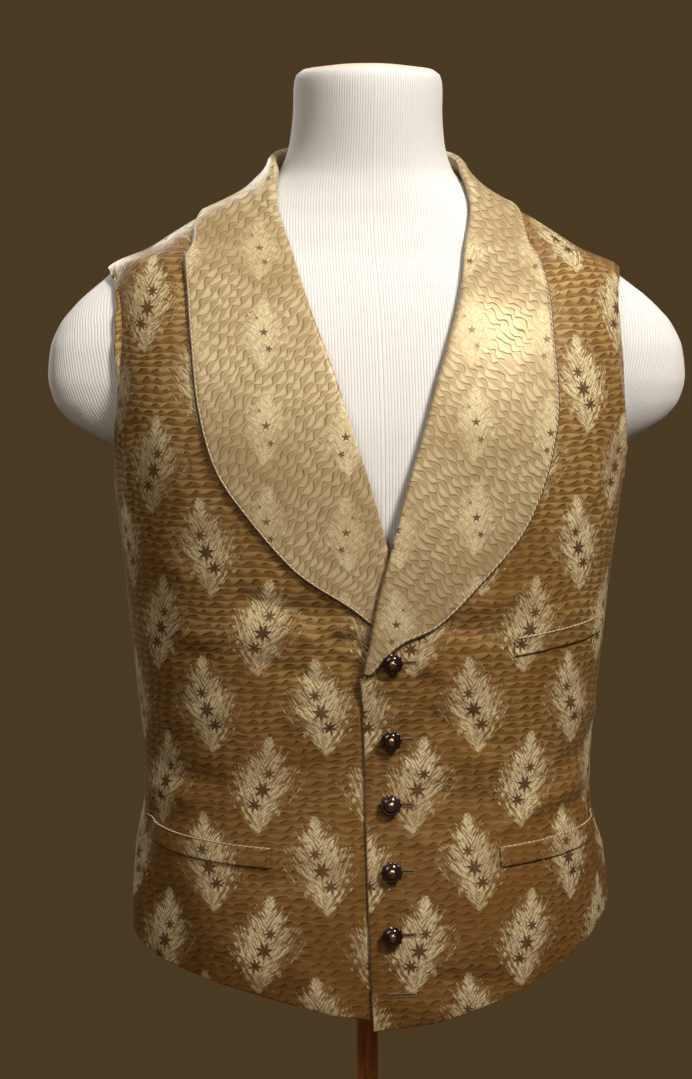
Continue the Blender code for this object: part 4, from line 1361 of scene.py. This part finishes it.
def collar_half(side, name):
    """Half of the collar: a stand, a rolled edge and a fall, as one folded sheet. Also its rim's places."""
    neck = NECKLINES[side]
    full = neck["length"][-1]
    half = CLOTH / 2
    outer, inner, flat, rims = [], [], [], []
    fall_marks, fall_shares = spread(FALL_ROW, False, True, FALL_SPACING)
    for mark, row_share in zip(*spread(full, True, True)):
        station = float(np.interp(mark * full, neck["length"], neck["stations"]))
        tip, rim, stand, fold_gap = collar_row(side, station)
        places, distance = fall_path(side, tip, rim)
        fold_radius = half + fold_gap / 2
        fold_at = fold_radius + half
        thin = half * row_share

        # The stand, from the neckline up to the roll
        uv_fold = cloth_uv(side, *place_at(places, distance, fold_at))
        uv_rim = cloth_uv(side, *rim)
        towards_rim = (uv_rim - uv_fold) / max(np.linalg.norm(uv_rim - uv_fold), 1e-6)
        legs = np.linspace(fold_at + stand, fold_at, STAND_POINTS, endpoint=False)
        angle, z = place_at(places, distance, legs)
        outer_row = list(cloth_point(side, angle, z, half - thin))
        inner_row = list(cloth_point(side, angle, z, half + thin))
        flat_row = list(uv_fold - (legs - fold_at + math.pi * fold_radius)[:, None] * towards_rim)

        # The roll, half a turn round the fold
        angle, z = place_at(places, distance, fold_at)
        normal = body_normal(side, angle, z)
        middle = cloth_point(side, angle, z, half + fold_radius)
        towards = cloth_point(side, *place_at(places, distance, fold_at + MM), half + fold_radius) - middle
        towards -= normal * (towards @ normal)
        towards /= np.linalg.norm(towards)
        for turn in np.radians(np.linspace(-90, 90, ROLL_POINTS)):
            spoke = normal * math.sin(turn) - towards * math.cos(turn)
            outer_row.append(middle + spoke * (fold_radius + thin))
            inner_row.append(middle + spoke * (fold_radius - thin))
            flat_row.append(uv_fold - towards_rim * fold_radius * (math.pi / 2 - turn))

        # The fall, down to the rim
        t = fall_marks[1:]
        angle, z = place_at(places, distance, fold_at + (distance[-1] - fold_at) * t)
        gap = FALL_GAP + (fold_gap - FALL_GAP) * (1 - smooth_step(0, FOLD_CLOSES, t))
        gap = gap + NECK_EASE * smooth_step(EASE_STARTS, EASE_FULL, station)
        share = np.minimum(fall_shares[1:], row_share)
        inner_row += list(cloth_point(side, angle, z, CLOTH + gap + half - half * share))
        outer_row += list(cloth_point(side, angle, z, CLOTH + gap + half + half * share))
        flat_row += list(cloth_uv(side, angle, z))
        rims.append((*rim, CLOTH + gap[-1] + half))
        outer.append(outer_row)
        inner.append(inner_row)
        flat.append(flat_row)
    outer, inner, flat = np.array(outer), np.array(inner), np.array(flat)
    index = np.arange(outer.shape[0] * outer.shape[1]).reshape(outer.shape[:2])
    faces = quads_of(index, side == RIGHT)
    outer, inner, flat = outer.reshape(-1, 3), inner.reshape(-1, 3), flat.reshape(-1, 2)
    made = shell(name, outer, inner, faces, flat, collar_silk[side], collar_silk[side])
    return made, np.array(rims)


def welt(name, piece_name):
    """A pocket welt on its panel, its figure matched to the panel's."""
    side, upper = WELTS[name]
    columns, column_shares = spread(WELT_ROW, True, True, WELT_SPACING)
    rows, row_shares = spread(WELT_HEIGHT * MM, True, True, WELT_SPACING)
    along = upper["angle"][0] + (upper["angle"][-1] - upper["angle"][0]) * columns
    angles = np.repeat(along[None, :], len(rows), axis=0)
    heights = line_height(upper, along)[None, :] - WELT_HEIGHT * MM * (1 - rows)[:, None]
    shares = np.minimum(row_shares[:, None], column_shares[None, :])
    finishes = (silk[side], silk_reverse)
    return cloth_shell(
        piece_name, side, angles, heights, shares, *finishes, bottom=CLOTH + WELT_GAP, thick=WELT_THICK
    )


# Sewing: sizes of the strands in metres
CORD_SIDES = 8
STITCH_SIDES = 5
HOLE_START = 0.6 * MM
HOLE_END = 18 * MM
HOLE_STITCHES = 34
HEM_STITCH = (4.2 * MM, 1.2 * MM, 0.16 * MM)
ARMHOLE_MARGIN = 7 * MM
HEM_MARGIN = 6.5 * MM


def resampled(rows, length, step):
    """Rows of numbers, read again at even steps of their running length."""
    marks = np.linspace(0, length[-1], max(2, int(length[-1] / step)) + 1)
    return np.stack([np.interp(marks, length, column) for column in rows.T], axis=-1)


def even_places(side, places, step):
    """The same line of places with one at each step along the cloth."""
    places = np.asarray(places, dtype=float)
    return resampled(places, running_length(body_point(side, *places.T)), step)


def stitches(side, places, pitch=2.6 * MM, length=1.9 * MM, radius=0.2 * MM, above=CLOTH):
    """Running stitches along a line of places, each dipping into the cloth at its ends."""
    steps = 6
    parts = []
    line = even_places(side, places, pitch / steps)
    used = int(round(steps * length / pitch))
    for k in range(0, len(line) - steps, steps):
        piece = line[k : k + used + 1]
        dip = np.sin(np.linspace(0, math.pi, len(piece)))
        points = cloth_point(side, *piece.T, above + radius * (1.2 * dip - 0.75))
        parts.append(tube(points, radius, STITCH_SIDES, True))
    return parts


def strand(side, places, above, radius, step=1.6 * MM):
    """A continuous cord along a line of places."""
    line = even_places(side, places, step)
    return tube(cloth_point(side, *line.T, above), radius, CORD_SIDES, True)


def moved_inside(side, places, distance, inward):
    """A line of places moved sideways over the body, to its left (+1) or right (-1) as seen from outside."""
    result = even_places(side, places, 3 * MM)
    ahead = np.gradient(body_point(side, *result.T), axis=0)
    for k in range(3):
        ahead[:, k] = np.convolve(np.pad(ahead[:, k], 3, mode="edge"), np.ones(7) / 7, mode="valid")
    steps = max(1, int(distance / MM))
    for _ in range(steps):
        angle, z = result.T
        here = body_point(side, angle, z)
        shift = np.cross(body_normal(side, angle, z), ahead)
        shift *= inward * distance / steps / np.linalg.norm(shift, axis=1, keepdims=True)

        # The shift in angle and height, from the slopes of the surface along both
        turn = (body_point(side, angle + 0.2, z) - here) / 0.2
        lift = (body_point(side, angle, z + 0.5 * MM) - here) / (0.5 * MM)
        turn_turn, turn_lift, lift_lift = (turn * turn).sum(1), (turn * lift).sum(1), (lift * lift).sum(1)
        turn_shift, lift_shift = (turn * shift).sum(1), (lift * shift).sum(1)
        scale = turn_turn * lift_lift - turn_lift * turn_lift
        result[:, 0] += (turn_shift * lift_lift - lift_shift * turn_lift) / scale
        result[:, 1] += (lift_shift * turn_turn - turn_shift * turn_lift) / scale
    return result


def left_strand(angles, zs, above, radius, sides=STITCH_SIDES):
    """A short strand on the left front, at a height above the cloth."""
    angles, zs = np.broadcast_arrays(np.asarray(angles, dtype=float), np.asarray(zs, dtype=float))
    return tube(cloth_point(LEFT, angles, zs, CLOTH + above), radius, sides, True)


def buttonhole(height):
    """A worked buttonhole: its close purl stitches with the bar at its inner end, and its dark slit."""
    edge = []
    rise = np.array([0.0, 0.28, 0.2, -0.1]) * MM
    for x in np.linspace(HOLE_START, HOLE_END, HOLE_STITCHES):
        for way in (1, -1):
            zs = height + way * np.linspace(0.35 * MM, 1.55 * MM, 4)
            edge.append(left_strand(front_angle(x, height), zs, rise, 0.24 * MM))
    bar = height + np.linspace(-1.7 * MM, 1.7 * MM, 6)
    edge.append(left_strand(front_angle(HOLE_END + 0.5 * MM, height), bar, 0.15 * MM, 0.32 * MM, 6))
    angles = front_angle(np.linspace(HOLE_START, HOLE_END, 12), height)
    return edge, left_strand(angles, height, 0.05 * MM, 0.42 * MM, 6)


# Buttons: rings of (radius, height) in millimetres, the depth of their lobes, and which finish they have
BUTTON_SHAPE = [
    (0.0, 0.3, 0.0, 0),
    (2.6, 0.3, 0.0, 0),
    (2.6, 2.6, 0.0, 0),
    (4.4, 2.9, 0.0, 0),
    (6.3, 3.3, 0.02, 0),
    (7.1, 3.9, 0.045, 0),
    (7.3, 4.5, 0.055, 0),
    (7.0, 5.1, 0.055, 0),
    (6.4, 5.5, 0.05, 0),
    (5.9, 5.35, 0.03, 0),
    (5.5, 5.3, 0.0, 0),
    (4.9, 5.75, 0.0, 0),
    (4.1, 6.2, 0.03, 0),
    (3.3, 6.35, 0.06, 0),
    (2.7, 6.1, 0.05, 0),
    (2.3, 6.0, 0.0, 0),
    (2.25, 6.5, 0.0, 1),
    (2.0, 7.0, 0.06, 1),
    (1.5, 7.35, 0.08, 1),
    (0.8, 7.55, 0.05, 1),
    (0.0, 7.6, 0.0, 1),
]
BUTTON_LOBES = 10
BUTTON_SIDES = 80


def button(name, z):
    """A domed button with a lobed rim and a raised middle knob."""
    outline = [(radius * MM, height * MM, lobe) for radius, height, lobe, kind in BUTTON_SHAPE]
    points, faces = turned(outline, BUTTON_SIDES, BUTTON_LOBES)
    kinds = ([0] + [row[3] for row in BUTTON_SHAPE[2:-1]] + [1]) * BUTTON_SIDES
    angle = front_angle(BUTTON_X, z)
    axis = Vector(body_normal(LEFT, angle, z))
    spin = np.array(Vector((0, 0, 1)).rotation_difference(axis).to_matrix())
    points = points @ spin.T + cloth_point(LEFT, angle, z, CLOTH)
    return add_mesh(name, points, faces, [button_dark, button_bright], None, kinds)


# The form and its base
BASE_SIDES = 128
FIRST_RING = 60 * MM


def form_piece(name):
    """The dress form, finely divided, with a painted cap on its neck."""
    quarter = np.concatenate([np.arange(0, 24, 1.2), np.arange(24, 90, 3.0)])
    half = np.concatenate([quarter, [90], 180 - quarter[::-1]])
    turn = np.concatenate([half, 360 - half[::-1][1:-1]])
    count = len(turn)
    side = np.where(np.cos(np.radians(turn)) >= 0, LEFT, RIGHT)
    angle = np.degrees(np.arcsin(np.clip(np.sin(np.radians(turn)), -1, 1)))

    def ring(z, scale=1.0, lift=0.0):
        points = body_point(side, angle, z)
        centre = np.array([0, float(at_height(TORSO, "centre_y", z))])
        points[:, :2] = (points[:, :2] - centre) * scale + centre
        points[:, 2] += lift
        return points

    circle = np.stack([np.cos(np.radians(turn)), -np.sin(np.radians(turn)), np.zeros(count)], axis=-1)
    rings = [circle * radius + [0, 0, FORM_BOTTOM] for radius in (POLE_RADIUS + POLE_FIT, FIRST_RING)]
    for step, scale in ((0, 0.91), (1, 0.945), (4, 0.97), (8, 0.99), (13, 1.0)):
        rings.append(ring(FORM_BOTTOM + step * MM, scale))
    levels = np.concatenate(
        [np.arange(396, 660, 8), np.arange(660, 826, 2.5), np.arange(826, 884, 2.5), np.arange(886, 938, 6)]
    )
    rings += [ring(z * MM) for z in levels]
    cap_starts = len(rings) + 3
    cap = [(940, 1.0, 0), (946, 0.99, 0), (950, 0.965, 0.5), (950, 0.93, 2), (950, 0.88, 4), (950, 0.5, 7)]
    rings += [ring(z * MM, scale, lift * MM) for z, scale, lift in cap]
    points = np.vstack(rings + [[[0, 0, FORM_BOTTOM + 2 * MM]], [[0, -2 * MM, FORM_TOP + 8 * MM]]])
    last = (len(rings) - 1) * count
    top = len(points) - 1
    faces, kinds = [], []
    for r in range(len(rings) - 1):
        low, high = r * count, (r + 1) * count
        for k in range(count):
            following = (k + 1) % count
            faces.append((low + following, low + k, high + k, high + following))
        kinds += [1 if r >= cap_starts else 0] * count
    faces += [(top, last + (k + 1) % count, last + k) for k in range(count)]
    faces.append(tuple(range(count)))
    kinds += [1] * count + [0]
    flat = [cloth_uv(side, angle, np.clip(ring_points[:, 2], 0.285, 0.955)) for ring_points in rings]
    flat = np.vstack(flat + [[[0, 0], [0, 0]]])
    return add_mesh(name, points, faces, [knit, neck_cap], flat, kinds)


def base_piece(name):
    """The round foot: a turned board with a moulded edge and a collar round the pole."""
    rim, board = BASE_RADIUS / MM, BASE_HEIGHT / MM
    socket, foot = (POLE_RADIUS + POLE_FIT) / MM, POLE_FOOT_Z / MM
    edge = [(-3, 0), (-1, 0.8), (0, 3), (0, 9), (-1.2, 12), (-4, 14), (-7, 14.6), (-9, 14.8), (-11, 16.2)]
    raised = [(40, 0), (28, 1.2), (22, 3.2), (17, 5.6), (socket + 5, 7.4), (socket + 3, 8), (socket, 8)]
    outline = [(0, 0)] + [(rim + inset, height) for inset, height in edge + [(-15, 17.2)]]
    outline += [(110, 20), (60, 22.6)] + [(radius, board + height) for radius, height in raised]
    outline += [(socket, foot), (0, foot)]
    points, faces = turned([(radius * MM, height * MM, 0) for radius, height in outline], BASE_SIDES)
    made = add_mesh(name, points, faces, [board_wood])
    made.data.set_sharp_from_angle(angle=math.radians(40))
    return made


# Making the pieces


def stands_for(piece, node):
    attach(piece, "root")
    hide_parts(node)


def trim(name, points, faces, finish, slot="figured_silk", uv=None):
    """A small piece that rides along without replacing a solid."""
    made = add_mesh(name, points, faces, [finish], uv)
    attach(made, "root")


def cord(name, points, radius, finish, slot):
    """A twisted cord with cloth coordinates of its own."""
    trim(name, *tube(points, radius, CORD_SIDES, True), finish, slot, tube_uv(points, CORD_SIDES))


def collar_cords(side, rims):
    """The light cord on the collar's rim, and a dark cord just inside it that is painted shadow: it stands in
    for the shade line along the rim.
    """
    for suffix, finish, out, lift, radius in (
        ("piping_light", piping_light, 0.3, 0.45, 0.75),
        ("painted_shadow_cord", painted_shadow_cord, 1.5, -0.45, 0.8),
    ):
        line = moved_inside(side, rims[:, :2], out * MM, -side)
        marks = np.linspace(0, 1, len(line))
        heights = np.interp(marks, np.linspace(0, 1, len(rims)), rims[:, 2]) + lift * MM
        points = cloth_point(side, *line.T, heights)
        points = resampled(points, running_length(points), 1.5 * MM)
        cord(f"{suffix}_{'left' if side == LEFT else 'right'}", points, radius * MM, finish, "collar_silk")


def welt_trim(node):
    """The cord on a welt's upper edge and the stitches at its ends."""
    side, upper = WELTS[node]
    angles = np.linspace(upper["angle"][0], upper["angle"][-1], 40)
    line = even_places(side, np.stack([angles, line_height(upper, angles) + 0.2 * MM], axis=-1), 1.5 * MM)
    points = cloth_point(side, *line.T, CLOTH + WELT_GAP + WELT_THICK * 0.8)
    cord("piping_" + node, points, 0.6 * MM, piping_light, "figured_silk")
    ends = []
    for angle in (upper["angle"][0] + 0.3, upper["angle"][-1] - 0.3):
        z = line_height(upper, angle)
        places = np.stack([np.full(8, angle), np.linspace(z - WELT_HEIGHT * MM + MM, z - MM, 8)], axis=-1)
        ends += stitches(side, places, 1.7 * MM, 1.1 * MM, 0.16 * MM, CLOTH + WELT_GAP + WELT_THICK)
    trim("ends_" + node, *joined(ends), stitch_thread)


def waistcoat():
    """The sewn pieces. The declared sheets are returned."""
    grids = {}
    fronts = []
    for side, node in ((RIGHT, "front_right"), (LEFT, "front_left")):
        made, grids[side] = front_panel(side, "silk_" + node)
        stands_for(made, node)
        fronts.append(made)
    back, back_grids = back_panel("cotton_back")
    stands_for(back, "back")

    collars = []
    for side, node in ((RIGHT, "collar_right"), (LEFT, "collar_left")):
        made, rims = collar_half(side, "silk_" + node)
        stands_for(made, node)
        collar_cords(side, rims)
        collars.append(made)

    welts = []
    for node in WELTS:
        made = welt(node, "silk_" + node)
        stands_for(made, node)
        welt_trim(node)
        welts.append(made)

    sewing(grids, back_grids)
    return fronts + [back] + collars, welts


def sewing(grids, back_grids):
    """Topstitching, darts, the centre back seam, a dark cord of painted shadow along the left front's edge,
    buttonholes and the thread where a button has gone.
    """
    top_stitch = []
    for side in (RIGHT, LEFT):
        line = moved_inside(side, line_places(ARMHOLE_FRONT[side]), ARMHOLE_MARGIN, side)
        top_stitch += stitches(side, line[3:-1])
        line = moved_inside(side, line_places(ARMHOLE_BACK), ARMHOLE_MARGIN, -side)
        top_stitch += stitches(side, line[2:-1])
        for (angles, heights), end in ((grids[side], -3), (back_grids[side], None)):
            hem = np.stack([angles[0][3:end], heights[0][3:end] + HEM_MARGIN], axis=-1)
            top_stitch += stitches(side, hem[::4], *HEM_STITCH)
    trim("topstitching", *joined(top_stitch), stitch_thread)

    seam_and_shadow_strands = []
    darts = {
        RIGHT: [(11.8, 658), (15.5, 649), (19.5, 637), (23.5, 624.5)],
        LEFT: [(18.5, 670), (21, 657), (23.5, 643), (26.5, 629)],
    }
    for side, places in darts.items():
        seam_and_shadow_strands.append(strand(side, np.array(places, dtype=float) * [1, MM], CLOTH - 0.08 * MM, 0.26 * MM))
    centre = np.stack([np.full(60, CENTRE_BACK), np.linspace(0.353, 0.866, 60)], axis=-1)
    seam_and_shadow_strands.append(strand(LEFT, centre, CLOTH - 0.12 * MM, 0.3 * MM))
    angles, heights = grids[LEFT]
    edge_rows = slice(6, int(np.argmin(np.abs(heights[:, -1] - BREAK_Z))))
    edge_line = np.stack([angles[edge_rows, -1], heights[edge_rows, -1]], axis=-1)
    # Painted shadow: a dark cord along the left front's edge, standing in for the shadow that the edge casts
    # on the right front
    seam_and_shadow_strands.append(strand(LEFT, edge_line, CLOTH * 0.3, 0.55 * MM))
    trim("seam_and_edge_shadow_lines", *joined(seam_and_shadow_strands), seam_and_shadow_thread)

    edges, slits = [], []
    for z in BUTTON_HEIGHTS + [EMPTY_BUTTONHOLE]:
        edge, slit = buttonhole(z * MM)
        edges += edge
        slits.append(slit)
    trim("buttonhole_stitches", *joined(edges), hole_thread)
    trim("buttonhole_slits", *joined(slits), slit_dark)

    tufts = []
    reach = np.linspace(0, 1, 6)
    for k in range(7):
        turn = 0.9 * k
        xs = BUTTON_X + reach * 2.4 * MM * math.cos(turn)
        zs = EMPTY_BUTTONHOLE * MM + (k - 3) * 0.5 * MM + reach * 2.0 * MM * math.sin(turn)
        lift = np.sin(np.linspace(0.1, 2.6, 6)) * (0.8 + 0.12 * k) * MM
        tufts.append(left_strand(front_angle(xs, zs), zs, lift, 0.14 * MM))
    trim("thread_left_of_button", *joined(tufts), seam_and_shadow_thread)


draped, laid = waistcoat()
for number, height in enumerate(BUTTON_HEIGHTS, start=1):
    stands_for(button(f"domed_button_{number}", height * MM), f"button_{number}")
stands_for(form_piece("knit_form"), "form")
stands_for(base_piece("turned_base"), "base")
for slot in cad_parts["pole"].material_slots:
    slot.material = wood


# Flat cuts, from the cloth coordinates, which measure the cloth as it was cut


def flat_cut(piece):
    """The width, length and area of a panel laid flat, in metres."""
    mesh = piece.data
    uv = np.empty(len(mesh.loops) * 2, dtype=np.float32)
    mesh.uv_layers["cloth"].data.foreach_get("uv", uv)
    uv = uv.reshape(-1, 2)
    width, length = (uv.max(axis=0) - uv.min(axis=0)).tolist()
    area = 0.0
    for face in mesh.polygons:
        corners = uv[face.loop_start : face.loop_start + face.loop_total]
        following = np.roll(corners, -1, axis=0)
        area += abs(float(np.sum(corners[:, 0] * following[:, 1] - corners[:, 1] * following[:, 0]))) / 2
    return width, length, area / 2


for piece in draped:
    width, length, area = flat_cut(piece)
for piece, under in zip(laid, WELTS.values()):
    width, length, area = flat_cut(piece)
    lies_on = "silk_front_left" if under[0] == LEFT else "silk_front_right"


# Floor, light and camera


def floor():
    size = 0.5
    points = [(-size, -size, 0), (size, -size, 0), (size, size, 0), (-size, size, 0)]
    n = Nodes("floor_paint")
    cloudy = n.noise(n.place(), 0.8, 2.0)
    finish = n.finish(n.blend(cloudy, (0.100, 0.060, 0.022), (0.115, 0.070, 0.027)), 0.9)
    add_mesh("floor", points, [(0, 1, 2, 3)], [finish], smooth=False)


def area_light(name, place, target, size, power, colour, spread=180):
    light = bpy.data.lights.new(name, "AREA")
    light.shape = "RECTANGLE"
    light.size, light.size_y = size
    light.energy = power
    light.color = colour
    light.spread = math.radians(spread)
    made = bpy.data.objects.new(name, light)
    made.location = place
    made.rotation_euler = (Vector(target) - Vector(place)).to_track_quat("-Z", "Y").to_euler()
    bpy.context.scene.collection.objects.link(made)


def camera():
    azimuth, elevation, distance = math.radians(-6.5), math.radians(4.5), 2.0
    target = Vector((0, 0, 0.62))
    out = Vector(
        (
            math.sin(azimuth) * math.cos(elevation),
            -math.cos(azimuth) * math.cos(elevation),
            math.sin(elevation),
        )
    )
    data = bpy.data.cameras.new("camera")
    data.sensor_fit = "AUTO"
    data.sensor_width = 36
    data.lens = distance / 0.00072 * 36 / 1079
    data.clip_start, data.clip_end = 0.05, 50
    made = bpy.data.objects.new("camera", data)
    made.rotation_euler = out.to_track_quat("Z", "Y").to_euler()
    right = Vector((math.cos(azimuth), math.sin(azimuth), 0))
    made.location = target + out * distance - right * 15.5 * MM
    bpy.context.scene.collection.objects.link(made)
    bpy.context.scene.camera = made


floor()
area_light("key", (0.95, -1.5, 2.25), (0, 0, 0.86), (0.5, 0.5), 8.5, (1.0, 0.97, 0.92), 60)
area_light("fill", (-1.3, -2.0, 2.0), (-0.05, 0, 0.86), (0.9, 0.9), 2.4, (1.0, 0.96, 0.90), 60)
area_light("front", (0.5, -3.4, 1.3), (0, 0, 0.6), (2.0, 1.6), 5, (1.0, 0.97, 0.93))
area_light("top", (0.3, 0.6, 2.6), (0, 0, 0.75), (1.2, 1.0), 13, (1.0, 1.0, 1.0))
area_light("behind", (-1.2, 2.2, 1.7), (0, 0, 0.6), (1.4, 1.4), 38, (1.0, 0.98, 0.95))
world = bpy.data.worlds.new("studio")
world.use_nodes = True
world.node_tree.nodes["Background"].inputs["Color"].default_value = (0.069, 0.043, 0.018, 1)
world.node_tree.nodes["Background"].inputs["Strength"].default_value = 1.0
bpy.context.scene.world = world
bpy.context.scene.view_settings.view_transform = "Standard"
camera()
